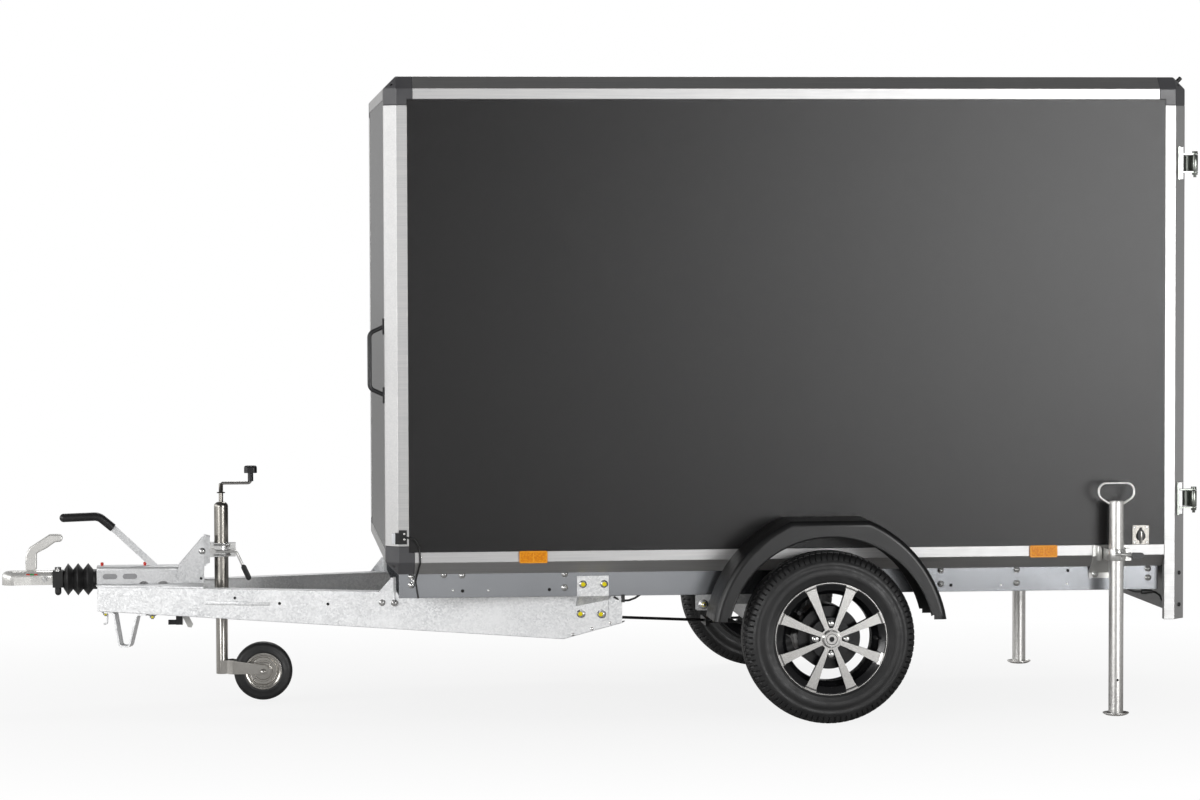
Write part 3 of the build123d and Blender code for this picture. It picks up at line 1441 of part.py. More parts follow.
# Each front lamp's lead runs down the box's corner, under the chamfer and over the rail.
lead_radius = 3
lead_bend = 12
with BuildPart() as lamp_leads:
    on_side = -half_width - lead_radius
    on_rail = -rail_y - lead_radius
    bent_rod([
        (body_front + lamp_arm_rear - 2 * lead_radius, on_side - lamp_arm_wall, body_bottom + 126),
        (body_front + 92, on_side - 2 * lead_radius, body_bottom + 118),
        (body_front + 109, on_side, body_bottom + 90),
        (body_front + 111, on_side - 1, body_bottom + chamfer_leg),
        (body_front + 101, on_rail - chamfer_leg / 2, body_bottom - 2 * lead_radius),
        (body_front + 98, on_rail, body_bottom - 24),
        (body_front + 107, on_rail, rail_bottom),
    ], lead_bend, lead_radius)
    mirror(about=Plane.XZ)
finish(lamp_leads, "lamp_leads")
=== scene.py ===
import json
import math

import bmesh
import bpy
from mathutils import Matrix, Vector


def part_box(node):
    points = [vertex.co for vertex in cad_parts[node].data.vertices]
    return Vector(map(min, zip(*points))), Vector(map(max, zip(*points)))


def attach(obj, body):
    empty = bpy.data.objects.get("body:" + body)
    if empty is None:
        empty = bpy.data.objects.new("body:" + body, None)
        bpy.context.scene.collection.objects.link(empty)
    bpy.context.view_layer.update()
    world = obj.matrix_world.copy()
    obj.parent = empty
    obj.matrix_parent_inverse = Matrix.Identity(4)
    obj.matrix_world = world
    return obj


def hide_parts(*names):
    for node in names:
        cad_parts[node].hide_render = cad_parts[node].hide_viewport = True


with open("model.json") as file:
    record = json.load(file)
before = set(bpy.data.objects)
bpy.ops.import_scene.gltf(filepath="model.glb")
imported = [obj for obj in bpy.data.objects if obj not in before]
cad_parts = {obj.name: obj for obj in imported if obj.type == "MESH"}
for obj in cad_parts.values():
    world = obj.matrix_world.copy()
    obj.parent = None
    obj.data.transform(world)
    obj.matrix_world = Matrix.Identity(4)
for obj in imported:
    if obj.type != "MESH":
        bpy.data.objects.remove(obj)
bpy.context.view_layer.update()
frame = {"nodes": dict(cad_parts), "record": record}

# Lengths are metres. X runs to the trailer's rear, Y to its right, Z up.
# The trailer's left side faces the camera.
LEFT, RIGHT = -1, 1
HANDS = ((LEFT, "left"), (RIGHT, "right"))
X, Y, Z = Vector((1, 0, 0)), Vector((0, 1, 0)), Vector((0, 0, 1))
MM = 0.001


def low(node):
    """Lowest corner of a CAD node."""
    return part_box(node)[0]


def high(node):
    """Highest corner of a CAD node."""
    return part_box(node)[1]


def middle_of(node):
    """Middle of a CAD node's box."""
    return (low(node) + high(node)) / 2


# ------------------------------------------------------------------- materials
class Nodes:
    """Makes and links the nodes of one tree."""

    def __init__(self, tree):
        self.tree = tree

    def node(self, kind, **settings):
        made = self.tree.nodes.new("ShaderNode" + kind)
        for key, value in settings.items():
            setattr(made, key, value)
        return made

    def link(self, source, target):
        self.tree.links.new(source, target)

    def feed(self, value, socket):
        """Gives a socket a colour, a number or another node's output."""
        if isinstance(value, tuple):
            socket.default_value = (*value, 1)
        elif isinstance(value, (int, float)):
            socket.default_value = value
        else:
            self.link(value, socket)

    def math(self, operation, *values, **settings):
        step = self.node("Math", operation=operation, **settings)
        for socket, value in zip(step.inputs, values):
            self.feed(value, socket)
        return step.outputs["Value"]

    def parts(self, vector):
        """A vector's X, Y and Z."""
        apart = self.node("SeparateXYZ")
        self.link(vector, apart.inputs["Vector"])
        return apart.outputs

    def spread(self, value, start, end, to_start=0.0, to_end=1.0, shape="LINEAR"):
        """value between start and end, moved to lie between to_start and to_end."""
        ranged = self.node("MapRange", interpolation_type=shape)
        limits = {"From Min": start, "From Max": end, "To Min": to_start, "To Max": to_end}
        for name, number in limits.items():
            ranged.inputs[name].default_value = number
        self.link(value, ranged.inputs["Value"])
        return ranged.outputs["Result"]

    def number_blend(self, factor, first, second):
        """Two numbers mixed."""
        mixed = self.node("Mix", data_type="FLOAT")
        self.link(factor, mixed.inputs["Factor"])
        self.feed(first, mixed.inputs[2])
        self.feed(second, mixed.inputs[3])
        return mixed.outputs[0]


class Finish(Nodes):
    """A material with its principled shader, and patterns placed by the object's own coordinates."""

    def __init__(self, name, roughness, metallic=0.0, **constants):
        self.material = bpy.data.materials.new(name)
        self.material.use_nodes = True
        super().__init__(self.material.node_tree)
        self.shader = self.tree.nodes["Principled BSDF"]
        constants.update(Roughness=roughness, Metallic=metallic)
        for socket, value in constants.items():
            self.shader.inputs[socket.replace("_", " ")].default_value = value
        self.colour = None
        self.normal = None

    def where(self, stretch=(1, 1, 1)):
        """The place on the object, scaled by axis."""
        mapping = self.node("Mapping")
        mapping.inputs["Scale"].default_value = stretch
        self.link(self.node("TexCoord").outputs["Object"], mapping.inputs["Vector"])
        return mapping.outputs["Vector"]

    def noise(self, scale, detail=4.0, stretch=(1, 1, 1)):
        texture = self.node("TexNoise")
        texture.inputs["Scale"].default_value = scale
        texture.inputs["Detail"].default_value = detail
        self.link(self.where(stretch), texture.inputs["Vector"])
        return texture.outputs["Fac"]

    def cells(self, scale, feature="F1"):
        """A Voronoi pattern's distance and colour."""
        texture = self.node("TexVoronoi", feature=feature)
        texture.inputs["Scale"].default_value = scale
        self.link(self.where(), texture.inputs["Vector"])
        return texture.outputs

    def blend(self, factor, first, second):
        """Two colours mixed."""
        mixed = self.node("Mix", data_type="RGBA")
        self.link(factor, mixed.inputs["Factor"])
        self.feed(first, mixed.inputs[6])
        self.feed(second, mixed.inputs[7])
        return mixed.outputs[2]

    def place(self):
        """The object's own coordinates, which are the frame's."""
        return self.parts(self.node("TexCoord").outputs["Object"])

    def from_centre(self, place, centre):
        """How far to the rear of a centre and above it, and the distance, seen from the side."""
        across = self.math("SUBTRACT", place["X"], centre.x)
        up = self.math("SUBTRACT", place["Z"], centre.z)
        squares = self.math("MULTIPLY", across, across), self.math("MULTIPLY", up, up)
        return across, up, self.math("SQRT", self.math("ADD", *squares))

    def inside(self, place, limits):
        """1 where all limits hold.

        A limit is (axis, value, 1 above or -1 below), and an axis may be absolute, such as "|Y|".
        """
        mask = 1.0
        for axis, limit, hand in limits:
            value = place[axis.strip("|")]
            if "|" in axis:
                value = self.math("ABSOLUTE", value)
            holds = self.math("GREATER_THAN" if hand > 0 else "LESS_THAN", value, limit)
            mask = self.math("MULTIPLY", holds, mask)
        return mask

    def paint(self, colour):
        self.colour = colour
        self.link(colour, self.shader.inputs["Base Color"])

    def paint_over(self, mask, colour):
        self.paint(self.blend(mask, self.colour, colour))

    def rough(self, value):
        self.link(value, self.shader.inputs["Roughness"])

    def bump(self, height, distance):
        """Adds relief of the given depth in metres."""
        relief = self.node("Bump")
        relief.inputs["Strength"].default_value = 1.0
        relief.inputs["Distance"].default_value = distance
        self.link(height, relief.inputs["Height"])
        if self.normal is not None:
            self.link(self.normal, relief.inputs["Normal"])
        self.normal = relief.outputs["Normal"]
        self.link(self.normal, self.shader.inputs["Normal"])


SOFT = (0.3, 0.7)               # the part of a noise in which soft patches change
STREAK = (0.35, 0.65)           # and the part in which drawn lines do


def mottled(name, dark, light, roughness, metallic=0.0, patch=9.0, grain=900.0, depth=0.0001, **constants):
    """A finish whose colour wanders between two tones in soft patches, with a fine grain."""
    made = Finish(name, sum(roughness) / 2, metallic, **constants)
    made.paint(made.blend(made.spread(made.noise(patch, detail=6.0), *SOFT), dark, light))
    made.rough(made.spread(made.noise(3 * patch), *SOFT, *roughness))
    made.bump(made.noise(grain, detail=2.0), depth)
    return made


def galvanised(name, dark, light, spangle, roughness=(0.42, 0.62), metallic=0.75):
    """Hot-dip zinc: crystals that differ a little in tone and gloss, over soft stains."""
    made = Finish(name, 0.5, metallic)
    tone = made.node("SeparateColor")
    made.link(made.cells(spangle)["Color"], tone.inputs["Color"])
    stains = made.spread(made.noise(7.0, detail=8.0), 0.25, 0.75)
    made.paint(made.blend(stains, made.blend(tone.outputs["Red"], dark, light), light))
    made.rough(made.spread(tone.outputs["Green"], 0.0, 1.0, *roughness))
    made.bump(made.noise(1400.0, detail=2.0), 0.00006)
    made.bump(tone.outputs["Blue"], 0.00004)
    return made


def drawn_metal(name, dark, light, roughness, along, lines=260.0):
    """Bright metal with fine drawing lines along one axis."""
    stretch = tuple(0.02 if axis == along else 1.0 for axis in range(3))
    made = Finish(name, sum(roughness) / 2, 1.0)
    streaks = made.noise(lines, detail=3.0, stretch=stretch)
    made.paint(made.blend(made.spread(streaks, *STREAK), dark, light))
    made.rough(made.spread(made.noise(30.0), *SOFT, *roughness))
    made.bump(streaks, 0.00003)
    return made


def plywood():
    """Brown resin film on plywood, with the mesh print of a floor that grips."""
    made = Finish("floor_board", 0.55)
    mesh = made.spread(made.cells(260.0, "DISTANCE_TO_EDGE")["Distance"], 0.0, 0.12)
    patches = made.spread(made.noise(3.0, detail=8.0, stretch=(0.2, 1, 1)), *SOFT)
    film = made.blend(patches, (0.085, 0.045, 0.022), (0.12, 0.068, 0.036))
    made.paint(made.blend(mesh, (0.06, 0.034, 0.018), film))
    made.bump(mesh, 0.0003)
    return made


PRISM_DEPTH = 0.0004


def ribbed_lens(name, dark, light, ribs):
    """A moulded lens: clear over small prisms."""
    made = Finish(name, 0.3, Coat_Weight=0.12, Coat_Roughness=0.1, Specular_IOR_Level=0.25)
    prisms = made.cells(ribs)["Distance"]
    made.paint(made.blend(made.spread(prisms, 0.0, 0.7), light, dark))
    made.bump(prisms, PRISM_DEPTH)
    return made


SPOKES = 8
SPOKE_HALF = 0.0195             # half the width of a spoke's bright face
FACE_DEPTH = 0.0144             # how far in from the rim's outermost plane the faces are turned
RIM_RING, RIM_LINE = 0.013, 0.0022          # between the spokes, dark from one to the other in from the edge
CAP_HOLE, CAP_GROOVE = 0.0085, (0.0165, 0.0185)     # dark too, by the distance from the axle


def wheel_metal():
    """Black paint, turned bright on the spokes' outer faces, the hub and a thin line at the rim's edge."""
    made = Finish("rim_black", 0.3)
    lowest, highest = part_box("rim_right")
    radius = (highest.z - lowest.z) / 2
    place, half_step = made.place(), math.pi / SPOKES
    across, up, reach = made.from_centre(place, middle_of("rim_right"))
    faced = made.inside(place, [("|Y|", highest.y - FACE_DEPTH, 1)])
    from_gap = made.math("PINGPONG", made.math("ARCTAN2", up, across), half_step)
    to_spoke = made.math("MULTIPLY", made.math("SINE", made.math("SUBTRACT", half_step, from_gap)), reach)
    on_spoke = made.math("LESS_THAN", to_spoke, SPOKE_HALF)
    on_hub = made.math("LESS_THAN", reach, radius - RIM_RING)
    on_edge = made.math("GREATER_THAN", reach, radius - RIM_LINE)
    shown = made.math("MAXIMUM", made.math("MAXIMUM", on_spoke, on_hub), on_edge)
    in_groove = made.math("GREATER_THAN", reach, CAP_GROOVE[0]), made.math("LESS_THAN", reach, CAP_GROOVE[1])
    dark = made.math("MAXIMUM", made.math("LESS_THAN", reach, CAP_HOLE), made.math("MULTIPLY", *in_groove))
    turned_part = made.math("MULTIPLY", made.math("MULTIPLY", faced, shown), made.math("SUBTRACT", 1.0, dark))
    lines = made.noise(500.0, detail=2.0)
    bright = made.blend(made.spread(lines, *STREAK), (0.5, 0.49, 0.48), (0.68, 0.67, 0.65))
    made.paint(made.blend(turned_part, (0.008, 0.008, 0.009), bright))
    made.link(turned_part, made.shader.inputs["Metallic"])
    made.rough(made.spread(turned_part, 0.0, 1.0, 0.22, 0.27))
    made.bump(lines, 0.00002)
    return made


# Tones: (colour, metallic, roughness).
RED_TONE = ((0.5, 0.008, 0.008), 0.0, 0.16)
AMBER_TONE = ((0.9, 0.3, 0.004), 0.0, 0.16)
WHITE_TONE = ((0.8, 0.8, 0.8), 0.0, 0.14)
CLEAR_TONE = ((0.85, 0.87, 0.9), 0.0, 0.12)
BLACK_TONE = ((0.018, 0.018, 0.019), 0.0, 0.36)
ZINC_TONE = ((0.82, 0.81, 0.79), 0.9, 0.3)
CRANK_TONE = ((0.5, 0.49, 0.47), 1.0, 0.25)
CATCH_TONE = ((0.28, 0.27, 0.25), 1.0, 0.25)
CLAMP_TONE = ((0.66, 0.66, 0.64), 0.6, 0.25)
STEEL_TONE = ((0.35, 0.36, 0.37), 0.9, 0.35)
PALE_TONE = ((0.6, 0.6, 0.58), 0.0, 0.4)
PATCH_SHADE = 0.88              # a tone's darker patches, to its colour


def toned(name, base, zones, prisms=None):
    """One tone, and others in zones: a zone is a tone and its limits, as Finish.inside takes them."""
    made = Finish(name, base[2])
    place = made.place()
    patches = made.spread(made.noise(30.0), *SOFT)

    def patched(colour):
        return made.blend(patches, tuple(PATCH_SHADE * part for part in colour), colour)

    made.paint(patched(base[0]))
    metallic, roughness = base[1:]
    for tone, limits in zones:
        mask = made.inside(place, limits)
        made.paint_over(mask, patched(tone[0]))
        metallic = made.number_blend(mask, metallic, tone[1])
        roughness = made.number_blend(mask, roughness, tone[2])
    made.link(metallic, made.shader.inputs["Metallic"])
    made.rough(roughness)
    if prisms:
        made.bump(made.cells(prisms)["Distance"], PRISM_DEPTH)
    else:
        made.bump(made.noise(900.0, detail=2.0), 0.00005)
    return made


panel_board = mottled("panel_board", (0.0072, 0.0068, 0.007), (0.0095, 0.009, 0.0092), (0.22, 0.22),
                      patch=420.0, grain=1300.0, depth=0.00025, Specular_IOR_Level=0.4)
roof_board = mottled("roof_board", (0.5, 0.5, 0.49), (0.58, 0.58, 0.57), (0.35, 0.5), patch=3.0)
floor_board = plywood()
alu_profile = drawn_metal("alu_profile", (0.53, 0.53, 0.53), (0.59, 0.585, 0.58), (0.42, 0.48), along=0)
cap_plastic = mottled("cap_plastic", (0.072, 0.072, 0.077), (0.094, 0.094, 0.099), (0.28, 0.36),
                      grain=1100.0, depth=0.00012)
rail_coat = mottled("rail_coat", (0.32, 0.332, 0.35), (0.37, 0.382, 0.4), (0.14, 0.18), metallic=0.9,
                    patch=3.0, grain=1600.0, depth=0.00005)
ZINC_LOOK = ((0.58, 0.59, 0.6), (0.88, 0.885, 0.89), 190.0)
zinc = galvanised("galvanised", *ZINC_LOOK)
# The overrun housing's copy of the zinc, which gets painted shade on its side ovals below.
housing_zinc_shaded = galvanised("housing_zinc_shaded", *ZINC_LOOK)
leg_zinc = galvanised("leg_zinc", (0.66, 0.65, 0.63), (0.82, 0.81, 0.79), 150.0, (0.3, 0.42), 0.85)
bright_zinc = mottled("zinc_plate", (0.8, 0.8, 0.79), (0.9, 0.9, 0.89), (0.2, 0.28), metallic=0.95,
                      grain=300.0, depth=0.00001)
cast_zinc = mottled("cast_zinc", (0.86, 0.85, 0.82), (0.96, 0.95, 0.92), (0.22, 0.34), metallic=0.6,
                    grain=300.0, depth=0.00001)
hinge_zinc = mottled("hinge_zinc", (0.2, 0.215, 0.2), (0.27, 0.285, 0.26), (0.16, 0.28), metallic=1.0,
                     patch=20.0, grain=700.0, depth=0.00003)
soft_nickel = mottled("soft_nickel", (0.55, 0.53, 0.495), (0.66, 0.64, 0.605), (0.18, 0.28),
                      metallic=0.85, patch=14.0, grain=700.0, depth=0.00002)
nickel = drawn_metal("zinc_tube", (0.29, 0.277, 0.25), (0.42, 0.4, 0.37), (0.16, 0.26), along=2)
rim_black = wheel_metal()
black_steel = mottled("black_steel", (0.014, 0.014, 0.015), (0.024, 0.024, 0.026), (0.3, 0.45), grain=600.0)
rubber_black = mottled("rubber_black", (0.012, 0.012, 0.012), (0.024, 0.024, 0.024), (0.38, 0.55),
                       patch=25.0, grain=1600.0, depth=0.00012)
tyre_rubber = mottled("tyre_rubber", (0.009, 0.009, 0.0095), (0.02, 0.02, 0.0205), (0.38, 0.55),
                      patch=18.0, grain=1500.0, depth=0.00015)
guard_plastic = mottled("guard_plastic", (0.005, 0.005, 0.0055), (0.008, 0.008, 0.0085), (0.3, 0.38),
                        grain=800.0, depth=0.0002)
grip_plastic = mottled("grip_plastic", (0.012, 0.012, 0.013), (0.022, 0.022, 0.023), (0.3, 0.42),
                       grain=1300.0, depth=0.00015)
plate_white = mottled("plate_white", (0.76, 0.76, 0.74), (0.84, 0.84, 0.82), (0.25, 0.35), patch=5.0)
red_cap = mottled("red_cap", (0.6, 0.03, 0.02), (0.75, 0.05, 0.03), (0.3, 0.45), patch=60.0)
yellow_mark = mottled("yellow_mark", (0.85, 0.7, 0.01), (0.95, 0.82, 0.02), (0.6, 0.7), patch=80.0,
                      Specular_IOR_Level=0.2)
green_mark = mottled("green_mark", (0.02, 0.3, 0.06), (0.03, 0.4, 0.08), (0.4, 0.5), patch=60.0)
# Painted shade: a near-black finish for thin discs that stand for the dark inside of drilled holes.
painted_hole_shade = mottled("painted_hole_shade", (0.006, 0.006, 0.006), (0.012, 0.012, 0.012), (0.8, 0.9), patch=40.0)
amber = ribbed_lens("amber", (0.8, 0.24, 0.002), (1.0, 0.42, 0.004), 160.0)
amber_frame = mottled("amber_frame", (1.0, 0.4, 0.01), (1.0, 0.45, 0.02), (0.25, 0.35), patch=60.0)
lamp_red = toned("lamp_red", RED_TONE, [
    (AMBER_TONE, [("|Y|", high("tail_lamps").y - 0.075, 1)]),
    (WHITE_TONE, [("|Y|", high("tail_lamps").y - 0.175, -1)])], prisms=160.0)
lamp_front = toned("lamp_front", BLACK_TONE, [(CLEAR_TONE, [("X", low("front_lamps").x + 0.011, -1)])])

# The pin hole near each support leg's foot, on its outer side: painted near-black, as painted shade inside
# the hole.
PIN_LEVEL, PIN_RADIUS = 0.119, 0.004
leg, leg_place = middle_of("support_leg_left"), leg_zinc.place()
from_pin = leg_zinc.from_centre(leg_place, Vector((leg.x, 0, PIN_LEVEL)))[2]
pin_hole_shade = leg_zinc.math("LESS_THAN", from_pin, PIN_RADIUS)
outer_side = leg_zinc.inside(leg_place, [("|Y|", abs(leg.y), 1)])
leg_zinc.paint_over(leg_zinc.math("MULTIPLY", outer_side, pin_hole_shade), (0.008, 0.008, 0.008))

# The ovals pressed out of the overrun housing's sides, which stand this far from its middle. Their faces are
# painted a darker grey: painted shade.
PRESSED_OUT, PRESSED_ABOVE = 0.0462, 0.008
pressed = housing_zinc_shaded.inside(housing_zinc_shaded.place(), [
    ("|Y|", PRESSED_OUT, 1), ("Z", low("overrun_housing").z + PRESSED_ABOVE, 1)])
housing_zinc_shaded.paint_over(pressed, (0.4, 0.4, 0.41))

SLOT_FINISH = dict(
    panel_board=panel_board, roof_board=roof_board, floor_board=floor_board, alu_profile=alu_profile,
    cap_plastic=cap_plastic, lamp_red=lamp_red, lamp_front=lamp_front, plate_white=plate_white,
    galvanised=zinc, zinc_plate=bright_zinc, rail_coat=rail_coat, black_steel=black_steel,
    rubber_black=rubber_black, tyre_rubber=tyre_rubber, rim_black=rim_black, guard_plastic=guard_plastic,
    amber=amber, grip_plastic=grip_plastic)
NODE_FINISH = {
    "jockey_tube": nickel,
    "overrun_housing": housing_zinc_shaded,
    "coupling_head": cast_zinc,
    "coupling_handle": cast_zinc,
    "jockey_fork": soft_nickel,
    "jockey_rim": soft_nickel,
    "hinge_brackets": hinge_zinc,
    "door_hinges_left": hinge_zinc,
    "door_hinges_right": hinge_zinc,
    "support_leg_left": leg_zinc,
    "support_leg_right": leg_zinc,
    "door_catches": toned("catch_tones", CATCH_TONE, [
        (BLACK_TONE, [("|Y|", high("door_catches").y - 0.0065, 1)])]),
    "jockey_crank": toned("crank_tones", CRANK_TONE, [(BLACK_TONE, [
        ("X", high("jockey_crank").x - 0.044, 1), ("Z", high("jockey_crank").z - 0.0535, 1)])]),
    "clamp_lever": toned("clamp_lever_tones", ZINC_TONE, [(BLACK_TONE, [
        ("X", high("clamp_lever").x - 0.036, 1), ("Z", low("clamp_lever").z + 0.053, -1)])]),
    "leg_clamps": toned("leg_clamp_tones", CLAMP_TONE, [(BLACK_TONE, [
        ("X", high("leg_clamps").x - 0.0415, 1), ("|Y|", high("leg_clamps").y - 0.0175, 1)])]),
    "brake_rod": toned("brake_rod_tones", BLACK_TONE, [
        (STEEL_TONE, [("X", low("brake_rod").x + 0.03, -1), ("Z", high("brake_rod").z - 0.1, 1)]),
        (PALE_TONE, [("X", low("brake_rod").x + 0.048, 1), ("X", low("brake_rod").x + 0.09, -1)])]),
}
for part in frame["record"]["subparts"]:
    materials = frame["nodes"][part["node"]].data.materials
    materials.clear()
    materials.append(NODE_FINISH.get(part["node"], SLOT_FINISH[part["material_slot"]]).material)

# Worn, rounded edges on the CAD's sheet metal and mouldings, by their width in millimetres.
EDGE_ROUND = {
    0.5: ["number_plate"],
    0.6: ["door_catches"],
    0.8: ["frame_brackets", "hinge_brackets", "door_hinges_left", "door_hinges_right", "rear_skirt",
          "jockey_bracket", "jockey_fork", "jockey_rim", "overrun_housing", "leg_clamps",
          "grab_handle", "rim_left", "rim_right", "mudguards"],
    1.0: ["cross_members", "axle_brackets", "door_rod_left", "door_rod_right", "jockey_clamp",
          "front_lamps", "brake_lever", "bellows"],
    1.2: ["chassis_rails", "door_left", "door_right", "side_reflectors"],
    1.5: ["side_rails", "end_rails", "front_posts", "rear_posts", "swing_arms"],
    2.0: ["drawbar_left", "drawbar_right"],
    3.0: ["corner_caps"],
    4.0: ["coupling_handle"],
    5.0: ["coupling_head"],
}
for width, names in EDGE_ROUND.items():
    for name in names:
        modifiers = frame["nodes"][name].modifiers
        modifiers.new("weld", "WELD").merge_threshold = 0.01 * MM
        bevel = modifiers.new("edges", "BEVEL")
        bevel.width = width * MM
        bevel.segments = 2
        bevel.limit_method = "ANGLE"
        bevel.angle_limit = math.radians(35)
        bevel.harden_normals = True
        bevel.use_clamp_overlap = True


# ------------------------------------------------------------------ mesh tools
def in_scene(name, data):
    """A new object, in the scene."""
    made = bpy.data.objects.new(name, data)
    bpy.context.scene.collection.objects.link(made)
    return made


def piece(name, mesh, finish=bright_zinc, body="trailer", sharp=32):
    """Makes an object of a bmesh: smooth but for its sharp edges, and riding on a CAD body."""
    for edge in mesh.edges:
        edge.smooth = len(edge.link_faces) == 2 and edge.calc_face_angle() < math.radians(sharp)
    for face in mesh.faces:
        face.smooth = True
    data = bpy.data.meshes.new(name)
    mesh.to_mesh(data)
    mesh.free()
    data.materials.append(finish.material)
    made = in_scene(name, data)
    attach(made, body)
    return made


def join(mesh, rings, closed=False):
    """Adds faces from each ring of corners to the next, then back to the first, or a face at both ends."""
    for first, second in zip(rings, rings[1:] + rings[:1] if closed else rings[1:]):
        for n in range(len(first)):
            ahead = (n + 1) % len(first)
            mesh.faces.new((first[n], first[ahead], second[ahead], second[n]))
    if not closed:
        mesh.faces.new(rings[0])
        mesh.faces.new(rings[-1])


def all_outward(mesh):
    bmesh.ops.recalc_face_normals(mesh, faces=mesh.faces)


def turned(mesh, place, along, profile, sides=24, turn=0.0, closed=False):
    """Adds a turned form: profile gives (radius, height) from place, along a unit direction."""
    across = along.orthogonal().normalized()
    other = along.cross(across)
    angles = [turn + 2 * math.pi * n / sides for n in range(sides)]
    spokes = [across * math.cos(angle) + other * math.sin(angle) for angle in angles]
    join(mesh, [[mesh.verts.new(place + along * height + spoke * radius) for spoke in spokes]
                for radius, height in profile], closed)


def hoop(mesh, centre, along, profile, sides):
    """Adds a ring turned about a unit direction: profile is a closed loop of (radius, height)."""
    turned(mesh, centre, along, profile, sides, closed=True)
    all_outward(mesh)


def tube(mesh, points, radius, sides=12):
    """Adds a round tube through the points, closed at its ends."""
    rings = []
    for n, point in enumerate(points):
        ahead = points[min(n + 1, len(points) - 1)] - points[max(n - 1, 0)]
        ahead.normalize()
        across = ahead.cross(Z if abs(ahead.z) < 0.9 else Y).normalized()
        other = ahead.cross(across)
        rings.append([mesh.verts.new(point + (across * math.cos(a) + other * math.sin(a)) * radius)
                      for a in (2 * math.pi * k / sides for k in range(sides))])
    join(mesh, rings)
    all_outward(mesh)


def bar(mesh, start, end, width, thickness, out):
    """Adds a flat bar with chamfered edges between two places, on a face whose way out is given."""
    along = (end - start).normalized()
    across = out.cross(along).normalized() * (width / 2)
    corners = [start - across, start + across, end + across, end - across]
    narrower, shorter = across * 0.7, along * width * 0.1
    raised = [start - narrower + shorter, start + narrower + shorter,
              end + narrower - shorter, end - narrower - shorter]
    join(mesh, [[mesh.verts.new(corner) for corner in corners],
                [mesh.verts.new(corner + out * thickness) for corner in raised]])
    all_outward(mesh)


def around(angle):
    """A direction seen from the side: to the rear, turned up by an angle."""
    return Vector((math.cos(angle), 0, math.sin(angle)))


# ----------------------------------------------------------------------- tyres
TREAD_BLOCKS = 88
STEPS_PER_BLOCK = 6
TREAD_SLANT = 60                # steps that a cross groove runs on by, a metre of width
# In millimetres. The sidewall goes (in from its widest, out from the bead), the tread (in from the
# sidewall's widest, below the crown, how deep a cross groove cuts here).
SIDEWALL = [(8, 0), (4.5, 6), (5.5, 8), (1.5, 22), (0.8, 24), (0, 42), (1.2, 44), (1.8, 56), (1, 58), (4, 68)]
TREAD = [(7.5, 26, 0), (7.8, 24.5, 4.5), (12, 17, 6.5), (18, 10.5, 7), (26, 5.5, 7), (34, 4, 7), (35, 11, 0),
         (40, 11, 0), (41, 2.2, 5), (60, 0.8, 5), (61, 8.5, 0), (65, 8.5, 0), (66, 0.2, 0)]
BEAD_DROP, LINER_DROP = 0.0985, 0.115       # the bead and the tyre's inside, below the crown


def tyre(node, body):
    """A road tyre with ribs, shoulder blocks and rings on its sidewalls. It stands for the CAD tyre."""
    centre, size = middle_of(node), high(node) - low(node)
    radius, half = size.z / 2, size.y / 2 - 0.0003
    outer = [(half - far * MM, radius - BEAD_DROP + up * MM, 0.0) for far, up in SIDEWALL]
    outer += [(half - far * MM, radius - down * MM, cut * MM) for far, down, cut in TREAD]
    profile = outer + [(-offset, reach, cut) for offset, reach, cut in reversed(outer)]
    profile += [(hand * (half - 0.012), radius - LINER_DROP, 0.0) for hand in (LEFT, RIGHT)]
    mesh = bmesh.new()
    steps = TREAD_BLOCKS * STEPS_PER_BLOCK
    rings = []
    for step in range(steps):
        ring = []
        for offset, reach, cut in profile:
            if (step + round(offset * TREAD_SLANT)) % STEPS_PER_BLOCK == 0:
                reach -= cut
            ring.append(mesh.verts.new(centre + Y * offset + around(2 * math.pi * step / steps) * reach))
        rings.append(ring)
    join(mesh, rings, closed=True)
    all_outward(mesh)
    made = piece(node + "_tread", mesh, tyre_rubber, body, sharp=40)
    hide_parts(node)


tyre("tyre_left", "wheel_left")
tyre("tyre_right", "wheel_right")

# The support wheel, in millimetres. Its rim goes by (distance from the axle, from the middle plane),
# and its tyre by (in from its tread, in from its side): round shoulders and a rib along each side.
JOCKEY_RIM = [(19, 13), (29, 13), (33, 8), (46, 8), (54, 19), (63, 22)]
JOCKEY_TYRE = [(37, 2), (34, 0.4), (28, 0.4), (26, 1.6), (16, 0.4), (8, 3), (3, 8), (0.6, 14), (0, 20)]


def rim_surface(radius):
    """How far the support wheel's rim stands out from its middle plane, by the distance from its axle."""
    for (first, first_out), (second, second_out) in zip(JOCKEY_RIM, JOCKEY_RIM[1:]):
        if first * MM <= radius <= second * MM:
            return (first_out + (second_out - first_out) * (radius / MM - first) / (second - first)) * MM
    return JOCKEY_RIM[-1][1] * MM


half_size = (high("jockey_tyre") - low("jockey_tyre")) / 2
side_profile = [(half_size.z - down * MM, half_size.y - far * MM) for down, far in JOCKEY_TYRE]
mesh = bmesh.new()
profile = side_profile + [(reach, -offset) for reach, offset in reversed(side_profile)]
hoop(mesh, middle_of("jockey_tyre"), Y, profile, 96)
made = piece("jockey_tyre_round", mesh, tyre_rubber, "jockey_wheel", sharp=40)
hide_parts("jockey_tyre")

# -------------------------------------------------------------- places on the CAD
nose = low("coupling_head").x
body_low, body_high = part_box("corner_caps")
front, rear = body_low.x, body_high.x
bottom, top = body_low.z, body_high.z
half_width = body_high.y
rail_low, rail_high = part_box("chassis_rails")
rail_face, beam_top = rail_high.y, rail_low.z
beam_start = Vector((nose + 0.324, 0.096, beam_top))
beam_end = Vector((nose + 2.054, rail_face, beam_top))
PLATE = 0.004                   # the brackets' plates stand this far out of the beams and rails


